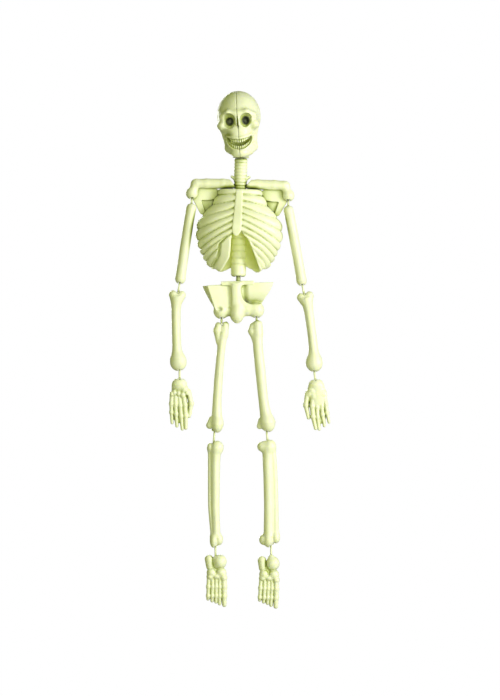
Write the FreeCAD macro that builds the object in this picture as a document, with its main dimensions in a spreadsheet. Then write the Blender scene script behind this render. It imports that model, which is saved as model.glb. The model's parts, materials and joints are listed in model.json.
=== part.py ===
import FreeCAD, Part
import os

import Sketcher
from FreeCAD import Placement, Rotation, Vector

# Hanging jointed skeleton figure, moulded in hollow half shells that snap together over small T-bar links.
# +Z up, +Y to the figure's back, +X to the figure's left. The origin is the mouth of the crown's string hole.
# All sizes are in millimetres. A segment's own frame has its origin at the pivot that it hangs from.

doc = FreeCAD.newDocument("Skeleton")
sheet = doc.addObject("Spreadsheet::Sheet", "Sizes")

SIZES = [
    # shells and fits
    ("shellWall", 2.2), ("pivotClearance", 0.08), ("slotGap", 0.35), ("seatGap", 0.15), ("endGap", 0.3),
    # links
    ("linkRadius", 1.8), ("barOversize", 0.25), ("barLength", 10), ("socketDepth", 6),
    ("waistLinkRadius", 4), ("waistBarLength", 17), ("sideSwing", 36), ("foreSwing", 42),
    ("snapOpening", 3.2),
    ("shoulderLinkGap", 6.5), ("elbowLinkGap", 9.7), ("wristLinkGap", 9.8),
    ("hipLinkGap", 4), ("kneeLinkGap", 12), ("ankleLinkGap", 14.3), ("waistLinkGap", 8),
    # skull
    ("craniumHalfWidth", 37.3), ("craniumHalfDepth", 44), ("craniumHalfHeight", 44),
    ("faceHalfWidth", 28), ("faceHalfDepth", 34), ("faceForward", 8), ("jawHeight", 116.5),
    ("cheekHeight", 68), ("cheekSpan", 27), ("cheekRadius", 10), ("crownBoss", 5), ("crownBossDrop", 6),
    ("jawTaper", 0.86), ("cheekTaper", 1.1), ("faceLap", 8), ("stringHoleRadius", 2),
    ("eyeRadius", 9), ("eyeSpan", 17), ("eyeHeight", 53), ("eyeForward", 37.84),
    ("noseHeight", 68), ("noseHalfWidth", 5), ("noseHalfTip", 1.5), ("noseLength", 12),
    ("mouthHeight", 90), ("mouthRadius", 28), ("mouthDepth", 1.6), ("neckPivotDrop", 112.5),
    # neck and spine column
    ("neckRadius", 11.6), ("lumbarRadius", 13), ("ringPitch", 6), ("ringDepth", 1.1), ("neckDrop", 60),
    ("lumbarTop", 140), ("columnBottom", 209.2), ("columnTopGap", 5.6), ("flangeRadius", 9),
    ("flangeThickness", 3), ("stemRadius", 6), ("stemRise", 10),
    # rib cage
    ("ribHalfWidth", 75.7), ("ribHalfDepth", 43), ("ribHalfHeight", 100), ("ribCentreDrop", 138),
    ("ribBottom", 200), ("archTop", 130), ("archHalfWidth", 31), ("sternumWidth", 14.5), ("sternumTop", 58),
    ("sternumBottom", 141), ("sternumProud", 2.5),
    # shoulder girdle
    ("knobOutset", 7.8), ("knobDrop", 66.8), ("knobRadius", 9.8), ("collarRadius", 7.5), ("collarDrop", 48.5),
    ("bladeThickness", 5),
    # pelvis
    ("plateHalfWidth", 27), ("plateRise", 6), ("wingHalfWidth", 62), ("wingTop", 2.5),
    ("pelvisThickness", 11), ("hipSpan", 30.3), ("hipDrop", 57), ("hipRadius", 13), ("sacrumRadius", 10.5), ("sacrumDrop", 67),
    ("scoopDepth", 7),
    # long bones: length, and the radii of head, shaft and foot end
    ("upperArmLength", 142), ("upperArmHead", 8.6), ("upperArmShaft", 8.4), ("upperArmFoot", 8.8),
    ("forearmLength", 142), ("forearmHead", 14.3), ("forearmShaft", 7.9), ("forearmFoot", 14.6),
    ("thighLength", 196), ("thighHead", 12), ("thighShaft", 7.4), ("thighFoot", 15),
    ("shinLength", 186), ("shinHead", 15), ("shinShaft", 9.6), ("shinFoot", 14),
    ("headHeight", 12), ("flareHeight", 16), ("bulbHeight", 24), ("topFlat", 6.5),
    # hands and feet
    ("handLength", 89), ("palmHalfWidth", 15), ("palmHalfDepth", 7), ("palmHalfHeight", 24),
    ("fingerRadius", 3.8), ("fingerTip", 2.8), ("collarTopRadius", 7), ("collarTopHeight", 14),
    ("footLength", 92), ("tarsalHalfWidth", 13), ("tarsalHalfDepth", 11), ("tarsalHalfHeight", 26),
    ("toeRadius", 4), ("toeTip", 3),
    # the way the figure hangs: each part's lean about Y, in degrees, positive with its foot to the right arm
    ("skullLean", -4), ("skullTurn", -3), ("torsoLean", 1.3), ("pelvisLean", -1.5),
    ("upperArmRightLean", 8.8), ("forearmRightLean", -1), ("handRightLean", -2),
    ("upperArmLeftLean", -10.5), ("forearmLeftLean", -7.5), ("handLeftLean", -2),
    ("thighRightLean", 3.8), ("shinRightLean", -1), ("footRightLean", 0),
    ("thighLeftLean", -5.3), ("shinLeftLean", -1.8), ("footLeftLean", 2),
]

for row, (alias, number) in enumerate(SIZES, start=1):
    sheet.set("A%d" % row, alias)
    sheet.set("B%d" % row, str(number))
    sheet.setAlias("B%d" % row, alias)
doc.recompute()

FAR = 400            # half size of the boxes that part a moulding into its halves
REACH = "3"          # how far a slot runs past the surface it opens through
SPARE = "10"         # how far a trimming block stands clear of what it trims
keep = {}            # node name -> the document object that is its shape
# how far each finger or toe stops short of the longest, and where its root stands across the palm or instep
FINGERS = {"shorter": (12, 4, 0, 7), "first": 0.62, "step": 0.4, "root": 33.2, "spread": 1.35}
TOES = {"shorter": (0, 3, 6, 10, 15), "first": 0.72, "step": 0.36, "root": 31.2, "spread": 1.25}
THUMB = ((8, -16), (21, -46))       # its root and tip, outward from the middle of the wrist
# the shoulder blade's corners, inward and upward from the knob's centre
BLADE = ((-2, 5), (38, 9), (38, -5), (26, -11), (25, -28), (13.5, -33), (13.5, -12), (3, -6))

ALIASES = {alias for alias, number in SIZES}
DERIVED = {"knobSpan": "( ribHalfWidth + knobOutset )"}     # what follows from other sizes


def full(expression):
    """The same expression with each alias written as a cell of the sheet."""
    for name, formula in DERIVED.items():
        expression = expression.replace(name, formula)
    return " ".join("Sizes." + word if word in ALIASES else word for word in expression.split())


def value(expression):
    """What an expression of sizes comes to, as a number."""
    return float(sheet.evalExpression(full(expression)))


def bind(obj, **sizes):
    """Binds properties to sizes: bind(cylinder, Radius="barRadius")."""
    for name, expression in sizes.items():
        obj.setExpression(name, full(expression))


def move(obj, x="0", y="0", z="0"):
    """Binds an object's place in its segment's frame."""
    for axis, expression in (("x", x), ("y", y), ("z", z)):
        if expression != "0":
            obj.setExpression("Placement.Base." + axis, full(expression))
    return obj


def lean(angle):
    return Rotation(Vector(0, 1, 0), angle)


# ---------------------------------------------------------------- sketches and PartDesign features

def originPlane(body, role):
    return [feature for feature in body.Origin.OriginFeatures if feature.Role == role][0]


def addSketch(body, name, role):
    sketch = body.newObject("Sketcher::SketchObject", name)
    sketch.AttachmentSupport = (originPlane(body, role), [""])
    sketch.MapMode = "FlatFace"
    return sketch


def pin(sketch, kind, geometry, vertex, expression):
    constraint = Sketcher.Constraint(kind, -1, 1, geometry, vertex, value(expression))
    sketch.setExpression("Constraints[%d]" % sketch.addConstraint(constraint), full(expression))


def drawOutline(sketch, points):
    """A closed outline of straight runs whose corners are bound to the sheet."""
    places = [Vector(value(across), value(up), 0) for across, up in points]
    count = len(places)
    for i in range(count):
        sketch.addGeometry(Part.LineSegment(places[i], places[(i + 1) % count]), False)
    sketch.addConstraint([Sketcher.Constraint("Coincident", i, 2, (i + 1) % count, 1) for i in range(count)])
    for i, (across, up) in enumerate(points):
        pin(sketch, "DistanceX", i, 1, across)
        pin(sketch, "DistanceY", i, 1, up)


def drawCircle(sketch, radius, across="0", up="0"):
    centre = Vector(value(across), value(up), 0)
    sketch.addGeometry(Part.Circle(centre, Vector(0, 0, 1), value(radius)), False)
    pin(sketch, "DistanceX", 0, 3, across)
    pin(sketch, "DistanceY", 0, 3, up)
    index = sketch.addConstraint(Sketcher.Constraint("Radius", 0, value(radius)))
    sketch.setExpression("Constraints[%d]" % index, full(radius))


def revolveHalf(body, sketch, reverse, kind="Revolution"):
    """Turns a profile half way round the frame's Z axis, as material or as a hollow."""
    turned = body.newObject("PartDesign::" + kind, kind)
    turned.Profile = sketch
    turned.ReferenceAxis = (sketch, ["V_Axis"])
    turned.Angle = 180
    turned.Reversed = reverse
    return turned


def pocketThrough(body, sketch, length):
    """A cut that runs the given length, centred on the sketch's plane."""
    pocket = body.newObject("PartDesign::Pocket", "Pocket")
    pocket.Profile = sketch
    pocket.SideType = "Symmetric"
    bind(pocket, Length=length)
    return pocket


def fanOutline(pivot, swing, radius, reach, upward):
    """The slot that a link's shaft sweeps, from its pivot out past the surface."""
    half = "( %s + slotGap ) / cos( %s )" % (radius, swing)
    spread = "%s + ( %s + %s ) * tan( %s )" % (half, reach, REACH, swing)
    onward, behind = ("+", "-") if upward else ("-", "+")
    start = "%s %s %s * sin( %s )" % (pivot, behind, radius, swing)
    end = "%s %s %s %s %s" % (pivot, onward, reach, onward, REACH)
    return [("0 - ( %s )" % half, start), (half, start), (spread, end), ("0 - ( %s )" % spread, end)]


def cutUpperSocket(body, drop, depth, radius="linkRadius", length="barLength"):
    """At a bone's lower end: a bar along X that lets the link swing fore and aft."""
    pivot = "( %s ) * -1 + %s" % (drop, depth)
    seat = addSketch(body, "BarSeat", "YZ_Plane")
    drawCircle(seat, radius + " + barOversize + pivotClearance", up=pivot)
    pocketThrough(body, seat, length + " + 2 * endGap")
    slot = addSketch(body, "SwingSlot", "YZ_Plane")
    drawOutline(slot, fanOutline(pivot, "foreSwing", radius, depth, False))
    pocketThrough(body, slot, "2 * ( %s + slotGap )" % radius)


def cutLowerSocket(body, depth):
    """At a bone's upper end: a bar along Y that lets the bone swing sideways on its link."""
    seat = addSketch(body, "BarSeat", "XZ_Plane")
    drawCircle(seat, "linkRadius + barOversize + pivotClearance")
    pocketThrough(body, seat, "barLength + 2 * endGap")
    slot = addSketch(body, "SwingSlot", "XZ_Plane")
    drawOutline(slot, fanOutline("0", "sideSwing", "linkRadius", depth, True))
    pocketThrough(body, slot, "2 * ( linkRadius + slotGap )")


# ---------------------------------------------------------------- Part primitives and booleans

def addPart(kind, name, **sizes):
    obj = doc.addObject("Part::" + kind, name)
    bind(obj, **sizes)
    return obj


def ellipsoid(name, width, depth, height):
    """An egg whose half sizes are along X, Y and Z."""
    egg = addPart("Ellipsoid", name, Radius1=height, Radius2=width, Radius3=depth)
    egg.Angle1 = -90
    egg.Angle2 = 90
    egg.Angle3 = 360
    return egg


def block(name, x, y, z):
    """A box between the given pairs of limits."""
    (x0, x1), (y0, y1), (z0, z1) = x, y, z
    solid = addPart("Box", name, Length="( %s ) - ( %s )" % (x1, x0), Width="( %s ) - ( %s )" % (y1, y0),
                    Height="( %s ) - ( %s )" % (z1, z0))
    return move(solid, x0, y0, z0)


def fuse(name, parts):
    whole = doc.addObject("Part::MultiFuse", name)
    whole.Shapes = parts
    return whole


def common(name, first, second):
    shared = doc.addObject("Part::Common", name)
    shared.Base = first
    shared.Tool = second
    return shared


def cut(name, base, tools):
    left = doc.addObject("Part::Cut", name)
    left.Base = base
    left.Tool = tools[0] if len(tools) == 1 else fuse(name + "Tools", tools)
    return left


def linkSeat(name, along, radius="linkRadius", length="barLength"):
    """The round seat for a link's bar, centred on the frame's origin along X or Y."""
    seat = addPart("Cylinder", name, Radius=radius + " + barOversize + pivotClearance",
                   Height=length + " + 2 * endGap")
    turn = {"X": Rotation(Vector(0, 1, 0), 90), "Y": Rotation(Vector(1, 0, 0), -90)}[along]
    seat.Placement = Placement(Vector(), turn)
    seat.setExpression("Placement.Base." + along.lower(), full("0 - %s / 2 - endGap" % length))
    return seat


def prism(name, points, front, thickness):
    """An outline in X and Z, made into a slab from front towards +Y."""
    sketch = doc.addObject("Sketcher::SketchObject", name + "Outline")
    sketch.Placement = Placement(Vector(), Rotation(Vector(1, 0, 0), 90))
    drawOutline(sketch, points)
    slab = doc.addObject("Part::Extrusion", name)
    slab.Base = sketch
    slab.DirMode = "Custom"
    slab.Dir = Vector(0, 1, 0)
    slab.Solid = True
    bind(slab, LengthFwd=thickness)
    return move(slab, y=front)


def foreSlot(name, x, z, depth):
    """The fore and aft fan that a link sweeps under a socket at (x, z)."""
    sketch = doc.addObject("Sketcher::SketchObject", name + "Fan")
    sketch.Placement = Placement(Vector(), Rotation(Vector(1, 1, 1), 120))
    drawOutline(sketch, fanOutline("0", "foreSwing", "linkRadius", depth, False))
    slab = doc.addObject("Part::Extrusion", name)
    slab.Base = sketch
    slab.DirMode = "Custom"
    slab.Dir = Vector(1, 0, 0)
    slab.Solid = True
    slab.Symmetric = True
    bind(slab, LengthFwd="2 * ( linkRadius + slotGap )")
    return move(slab, x=x, z=z)


def sideSlot(name, depth, radius="linkRadius"):
    """The sideways fan that a link sweeps above a socket at the frame's origin."""
    half = "( %s + slotGap )" % radius
    return prism(name, fanOutline("0", "sideSwing", radius, depth, True), "0 - %s" % half, "2 * " + half)


def halfSpace(name, axis, start):
    """Everything on one side of the plane X = 0 or Y = 0: start is 0 or -FAR."""
    side = doc.addObject("Part::Box", name)
    side.Length = side.Width = side.Height = 2 * FAR
    corner = Vector(-FAR, -FAR, -FAR)
    if axis == "X":
        side.Length = FAR
        corner.x = start
    else:
        side.Width = FAR
        corner.y = start
    side.Placement.Base = corner
    return side


def halves(whole, axis, names):
    """Parts a moulding at its plane X = 0 or Y = 0: the lower half's name comes first."""
    for name, start in zip(names, (-FAR, 0)):
        keep[name] = common(name, whole, halfSpace(name + "Side", axis, start))


# ---------------------------------------------------------------- where each segment hangs

def linkEnd(frame, point, gap, depthAbove="socketDepth", depthBelow="socketDepth"):
    """The two frames of a link: it hangs in line with the part above, its lower pivot a span below."""
    span = value(depthAbove) + value(gap) + value(depthBelow)
    top = Placement(frame.multVec(point), frame.Rotation)
    return top, top.multVec(Vector(0, 0, -span))


skullTurn = Rotation(Vector(0, 0, 1), value("skullTurn"))
skullFrame = Placement(Vector(), lean(value("skullLean")).multiply(skullTurn))
neckPivot = lean(value("skullLean")).multVec(Vector(0, 0, -value("neckPivotDrop")))
torsoFrame = Placement(neckPivot, lean(value("torsoLean")))
waistFrame, waistLower = linkEnd(torsoFrame, Vector(0, 0, -value("columnBottom") + value("socketDepth")),
                                 "waistLinkGap")
pelvisFrame = Placement(waistLower, lean(value("pelvisLean")))

neckInSkull = skullFrame.inverse().multiply(torsoFrame)

frames = {"skull": skullFrame, "torso": torsoFrame, "waist": waistFrame, "pelvis": pelvisFrame}


def hangLimb(side, top, point, chain):
    """Hangs a limb's segments one below another: chain rows are segment, link, link gap and length."""
    frame = frames[top]
    for segment, link, gap, length in chain:
        linkFrame, lower = linkEnd(frame, point, gap)
        frames[link + side] = linkFrame
        frame = Placement(lower, lean(value(segment + side + "Lean")))
        frames[segment + side] = frame
        point = Vector(0, 0, -value(length) + 2 * value("socketDepth"))


ARM = [("upperArm", "shoulder", "shoulderLinkGap", "upperArmLength"),
       ("forearm", "elbow", "elbowLinkGap", "forearmLength"),
       ("hand", "wrist", "wristLinkGap", "handLength")]
LEG = [("thigh", "hip", "hipLinkGap", "thighLength"),
       ("shin", "knee", "kneeLinkGap", "shinLength"),
       ("foot", "ankle", "ankleLinkGap", "footLength")]
for side, sign in (("Left", 1), ("Right", -1)):
    shoulderPivot = Vector(sign * value("knobSpan"), 0,
                           -value("knobDrop") - value("knobRadius") + value("socketDepth"))
    hangLimb(side, "torso", shoulderPivot, ARM)
    hipPivot = Vector(sign * value("hipSpan"), 0, -value("hipDrop") + value("socketDepth"))
    hangLimb(side, "pelvis", hipPivot, LEG)


# ---------------------------------------------------------------- links

def makeLink(name, gap, radius="linkRadius", length="barLength"):
    """A shaft with a bar along X at its top and a bar along Y at its foot."""
    body = doc.addObject("PartDesign::Body", name)
    span = "2 * socketDepth + " + gap
    rod = addSketch(body, "Shaft", "XY_Plane")
    drawCircle(rod, radius)
    pad = body.newObject("PartDesign::Pad", "ShaftPad")
    pad.Profile = rod
    pad.Reversed = True
    bind(pad, Length=span)
    for role, up in (("YZ_Plane", "0"), ("XZ_Plane", "0 - ( %s )" % span)):
        ring = addSketch(body, "Bar", role)
        drawCircle(ring, radius + " + barOversize", up=up)
        crossBar = body.newObject("PartDesign::Pad", "CrossBar")
        crossBar.Profile = ring
        crossBar.SideType = "Symmetric"
        bind(crossBar, Length=length)
    keep[name] = body
    return body


# ---------------------------------------------------------------- long bones

def boneOutline(length, head, shaft, foot):
    """Half the silhouette of a long bone, from its top on the axis round to its bottom."""
    top = "socketDepth"
    bottom = "socketDepth - " + length
    neck = "socketDepth - headHeight"
    return [("0", top), ("topFlat", top), (head + " * 0.92", top + " - 3"), (head, "0 - 1"), (head, neck),
            (shaft, neck + " - flareHeight"), (shaft, bottom + " + bulbHeight + flareHeight / 2"),
            (foot + " * 0.88", bottom + " + bulbHeight * 0.75"), (foot, bottom + " + bulbHeight * 0.5"),
            (foot + " * 0.88", bottom + " + bulbHeight * 0.2"), ("topFlat", bottom), ("0", bottom)]


def hollowOutline(length, shaft):
    """The hollow between a bone's two end bosses."""
    top = "0 - 1.2 * socketDepth - headHeight"
    bottom = "socketDepth - " + length + " + bulbHeight + 4"
    inner = shaft + " - shellWall"
    return [("0", top), (inner, top), (inner, bottom), ("0", bottom)]


def makeBone(name, segment, side):
    """Two half shells of one long bone, parted at the plane X = 0 of its frame."""
    length, head, shaft, foot = (segment + part for part in ("Length", "Head", "Shaft", "Foot"))
    for half, reverse in (("inner", side == "Left"), ("outer", side == "Right")):
        # turning forward from +Y fills the X < 0 half, and reversed fills the X > 0 half
        body = doc.addObject("PartDesign::Body", "%s_%s" % (name, half))
        outline = addSketch(body, "Outline", "YZ_Plane")
        drawOutline(outline, boneOutline(length, head, shaft, foot))
        revolveHalf(body, outline, not reverse)
        hollow = addSketch(body, "Hollow", "YZ_Plane")
        drawOutline(hollow, hollowOutline(length, shaft))
        revolveHalf(body, hollow, not reverse, "Groove")
        cutLowerSocket(body, "socketDepth")
        cutUpperSocket(body, length + " - socketDepth", "socketDepth")
        body.Placement = frames[segment + side]
        keep["%s_%s" % (name, half)] = body


# ---------------------------------------------------------------- spine column

def columnOutline():
    """Half the silhouette of the ringed column, with the flanged stem that turns in the skull's base."""
    points = [("0", "stemRise"), ("flangeRadius", "stemRise"), ("flangeRadius", "stemRise - flangeThickness"),
              ("stemRadius", "stemRise - flangeThickness"), ("stemRadius", "0 - columnTopGap")]
    down = "0 - columnTopGap"
    neckRings = int((value("neckDrop") - value("columnTopGap")) / value("ringPitch"))
    for i in range(neckRings):
        start = "%s - %d * ringPitch" % (down, i)
        points += [("neckRadius - ringDepth", start), ("neckRadius", start + " - 0.3 * ringPitch"),
                   ("neckRadius", start + " - 0.7 * ringPitch")]
    points += [("neckRadius - ringDepth", "%s - %d * ringPitch" % (down, neckRings)),
               ("neckRadius - ringDepth", "0 - lumbarTop")]
    lumbarRings = int((value("columnBottom") - value("lumbarTop")) / value("ringPitch") - 2)
    for i in range(lumbarRings):
        start = "0 - lumbarTop - %d * ringPitch" % i
        points += [("lumbarRadius", start + " - 0.3 * ringPitch"),
                   ("lumbarRadius", start + " - 0.7 * ringPitch"),
                   ("lumbarRadius - ringDepth", start + " - ringPitch")]
    points += [("lumbarRadius", "2 * ringPitch - columnBottom"), ("lumbarRadius", "5 - columnBottom"),
               ("lumbarRadius * 0.7", "0 - columnBottom"), ("0", "0 - columnBottom")]
    return points


def makeSpine():
    """The neck and spine column, two half shells parted at the plane Y = 0."""
    for name, reverse in (("spine_front", True), ("spine_back", False)):
        body = doc.addObject("PartDesign::Body", name)
        outline = addSketch(body, "Outline", "XZ_Plane")
        drawOutline(outline, columnOutline())
        revolveHalf(body, outline, reverse)
        hollow = addSketch(body, "Hollow", "XZ_Plane")
        inner = "neckRadius - ringDepth - shellWall"
        top = "0 - columnTopGap - 2 * shellWall"
        bottom = "4 * ringPitch - columnBottom"
        drawOutline(hollow, [("0", top), (inner, top), (inner, bottom), ("0", bottom)])
        revolveHalf(body, hollow, reverse, "Groove")
        cutUpperSocket(body, "columnBottom", "socketDepth", "waistLinkRadius", "waistBarLength")
        body.Placement = torsoFrame
        keep[name] = body


# ---------------------------------------------------------------- skull

def neckSocket():
    """The recess in the skull's base that the column's flange turns in, along the column's own axis."""
    stem = addPart("Cylinder", "NeckStemHole", Radius="stemRadius + pivotClearance", Height="jawHeight / 2")
    flange = addPart("Cylinder", "NeckFlangeRecess", Radius="flangeRadius + pivotClearance",
                     Height="flangeThickness + 2 * endGap")
    bind(stem, **{"Placement.Base.z": "stemRise + endGap - jawHeight / 2"})
    bind(flange, **{"Placement.Base.z": "stemRise - flangeThickness - endGap"})
    socket = fuse("NeckSocket", [stem, flange])
    socket.Placement = neckInSkull
    return socket


def crownTool(name, gap):
    """The round boss that holds the string hole: it belongs to the left half and seats in the right one."""
    tongue = addPart("Cylinder", name, Radius="crownBoss + " + gap, Height="4 * crownBossDrop")
    return move(tongue, z="0 - 2 * crownBossDrop")


def makeSkull():
    """Cranium, face and jaw in one hollow form, parted down the middle."""
    cranium = move(ellipsoid("Cranium", "craniumHalfWidth", "craniumHalfDepth", "craniumHalfHeight"),
                   z="0 - craniumHalfHeight")
    face = addPart("Cone", "Face", Radius1="faceHalfWidth * jawTaper", Radius2="faceHalfWidth * cheekTaper",
                   Height="jawHeight - craniumHalfHeight - faceLap")
    move(face, y="0 - faceForward", z="0 - jawHeight")
    cheeks = []
    for name, side in (("CheekRight", "-1"), ("CheekLeft", "1")):
        cheek = addPart("Sphere", name, Radius="cheekRadius")
        cheeks.append(move(cheek, x=side + " * cheekSpan", y="0 - faceHalfDepth * 0.5 - faceForward",
                           z="0 - cheekHeight"))
    outer = fuse("SkullOuter", [cranium, face] + cheeks)

    inside = move(ellipsoid("CraniumHollow", "craniumHalfWidth - shellWall", "craniumHalfDepth - shellWall",
                            "craniumHalfHeight - shellWall"), z="0 - craniumHalfHeight")
    faceInside = addPart("Cone", "FaceHollow", Radius1="faceHalfWidth * jawTaper - shellWall",
                         Radius2="faceHalfWidth * cheekTaper - shellWall",
                         Height="jawHeight - craniumHalfHeight - faceLap - shellWall")
    move(faceInside, y="0 - faceForward", z="shellWall - jawHeight")
    boss = addPart("Cylinder", "CrownBoss", Radius="crownBoss", Height="2 * crownBossDrop")
    move(boss, z="0 - crownBossDrop")
    neckBoss = addPart("Cylinder", "NeckBoss", Radius="flangeRadius + 2 * shellWall", Height="3 * stemRise")
    bossFoot = neckInSkull.multVec(Vector(0, 0, -value("stemRise")))
    neckBoss.Placement = Placement(bossFoot, neckInSkull.Rotation)
    bosses, eyes = [boss, neckBoss], []
    for name, side in (("Right", "-1"), ("Left", "1")):
        cup = addPart("Sphere", "EyeCup" + name, Radius="eyeRadius + shellWall")
        eye = addPart("Sphere", "Eye" + name, Radius="eyeRadius")
        for ball, balls in ((cup, bosses), (eye, eyes)):
            balls.append(move(ball, x=side + " * eyeSpan", y="0 - eyeForward", z="0 - eyeHeight"))
    hollow = cut("SkullHollow", fuse("SkullInside", [inside, faceInside]), bosses)

    tools = [hollow, neckSocket()] + eyes
    hole = addPart("Cylinder", "StringHole", Radius="stringHoleRadius", Height="3 * crownBossDrop")
    tools.append(move(hole, z="0 - 2 * crownBossDrop"))
    nose = addPart("Cone", "Nose", Radius1="noseHalfWidth", Radius2="noseHalfTip", Height="noseLength")
    tools.append(move(nose, y="0 - faceHalfWidth - faceForward - 2 * noseHalfTip",
                      z="0 - noseHeight - noseLength / 2"))
    mouth = addPart("Torus", "Mouth", Radius1="mouthRadius", Radius2="mouthDepth")
    tools.append(move(mouth, y="0 - faceForward", z="0 - mouthHeight"))
    whole = cut("Skull", outer, tools)
    rightRoom = cut("RightRoom", halfSpace("RightSide", "X", -FAR), [crownTool("CrownRecess", "seatGap")])
    leftRoom = fuse("LeftRoom", [halfSpace("LeftSide", "X", 0), crownTool("CrownTongue", "0")])
    keep["skull_right"] = common("skull_right", whole, rightRoom)
    keep["skull_left"] = common("skull_left", whole, leftRoom)
    for name in ("skull_right", "skull_left"):
        keep[name].Placement = skullFrame


# ---------------------------------------------------------------- rib cage

def ribEgg(name, grow):
    """The rib cage's form, grown outward by a margin."""
    egg = ellipsoid(name, "ribHalfWidth + " + grow, "ribHalfDepth + " + grow, "ribHalfHeight + " + grow)
    return move(egg, z="0 - ribCentreDrop")


def ribTop():
    """The height at which the rib cage's flat top sits under the collar bones."""
    return "0 - collarDrop - collarRadius - seatGap"


def makeRibCage():
    """A hollow barrel with a breast bone and an arched opening below it, in two shells."""
    wide = "( ribHalfWidth + %s )" % SPARE
    deep = "( ribHalfDepth + %s )" % SPARE
    span = block("RibSpan", ("0 - " + wide, wide), ("0 - " + deep, deep), ("0 - ribBottom", ribTop()))
    innerSpan = block("RibInnerSpan", ("0 - " + wide, wide), ("0 - " + deep, deep),
                      ("0 - ribBottom - " + SPARE, ribTop() + " - shellWall"))
    barrel = common("RibBarrel", ribEgg("RibOuter", "0"), span)
    plate = block("SternumPlate", ("0 - sternumWidth / 2", "sternumWidth / 2"), ("0 - " + deep, "0"),
                  ("0 - sternumBottom", "0 - sternumTop"))
    sternum = common("Sternum", ribEgg("SternumEgg", "sternumProud"), plate)
    shoulder, foot = "0 - archTop - 22", "0 - ribBottom - 1"
    archCorners = [("0", "0 - archTop"), ("archHalfWidth * 0.45", shoulder), ("archHalfWidth", foot),
                   ("0 - archHalfWidth", foot), ("0 - archHalfWidth * 0.45", shoulder)]
    arch = prism("CostalArch", archCorners, "0 - " + deep, deep)
    neckHole = addPart("Cylinder", "NeckHole", Radius="neckRadius + seatGap", Height="4 * neckRadius")
    move(neckHole, z=ribTop() + " - 2 * neckRadius")
    hollow = common("RibHollow", ribEgg("RibInner", "0 - shellWall"), innerSpan)
    shell = fuse("RibsAndSternum", [cut("RibsOpen", barrel, [arch]), sternum])
    cage = cut("RibCage", shell, [hollow, neckHole])
    halves(cage, "Y", ["rib_cage_front", "rib_cage_back"])
    for name in ("rib_cage_front", "rib_cage_back"):
        keep[name].Placement = torsoFrame


# ---------------------------------------------------------------- shoulder girdle

def makeGirdle(side, sign):
    """A collar bone in front and a shoulder blade behind, which meet round the shoulder link's bar."""
    name = "Girdle" + side
    outward = "%d * " % sign
    pivotDrop = "0 - knobDrop - knobRadius + socketDepth"
    bar = addPart("Cylinder", name + "Bar", Radius="collarRadius", Height="knobSpan - neckRadius - seatGap")
    bar.Placement.Rotation = Rotation(Vector(0, 1, 0), 90 * sign)
    move(bar, x=outward + "( neckRadius + seatGap )", z="0 - collarDrop")
    riser = addPart("Cylinder", name + "Riser", Radius="collarRadius * 0.95", Height="knobDrop - collarDrop")
    move(riser, x=outward + "knobSpan", z="0 - knobDrop")
    knob = addPart("Sphere", name + "Knob", Radius="knobRadius")
    move(knob, x=outward + "knobSpan", z="0 - knobDrop")
    outerEnd = move(addPart("Sphere", name + "End", Radius="collarRadius"), x=outward + "knobSpan",
                    z="0 - collarDrop")
    whole = fuse(name + "Whole", [bar, riser, knob, outerEnd])
    seat = linkSeat(name + "Seat", "X")
    move(seat, x=outward + "knobSpan - barLength / 2 - endGap", z=pivotDrop)
    fan = foreSlot(name + "Slot", outward + "knobSpan", pivotDrop, "socketDepth")
    neck = addPart("Cylinder", name + "Neck", Radius="neckRadius + seatGap", Height="ribBottom")
    move(neck, z="0 - ribBottom")
    girdle = cut(name, whole, [seat, fan, neck])
    front, back = "collar_bone_" + side.lower(), "shoulder_blade_" + side.lower()
    halves(girdle, "Y", [front, name + "Back"])

    outline = [("%s( knobSpan - %s )" % (outward, inward), "%s - knobDrop" % up) for inward, up in BLADE]
    plate = prism(name + "Blade", outline, "0", "bladeThickness")
    room = move(addPart("Sphere", name + "Room", Radius="knobRadius - 1"), x=outward + "knobSpan",
                z="0 - knobDrop")
    blade = cut(name + "BladeCut", plate, [ribEgg(name + "RibRoom", "seatGap"), room])
    keep[back] = fuse(back, [keep.pop(name + "Back"), blade])
    keep[front].Placement = torsoFrame
    keep[back].Placement = torsoFrame


# ---------------------------------------------------------------- pelvis

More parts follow.
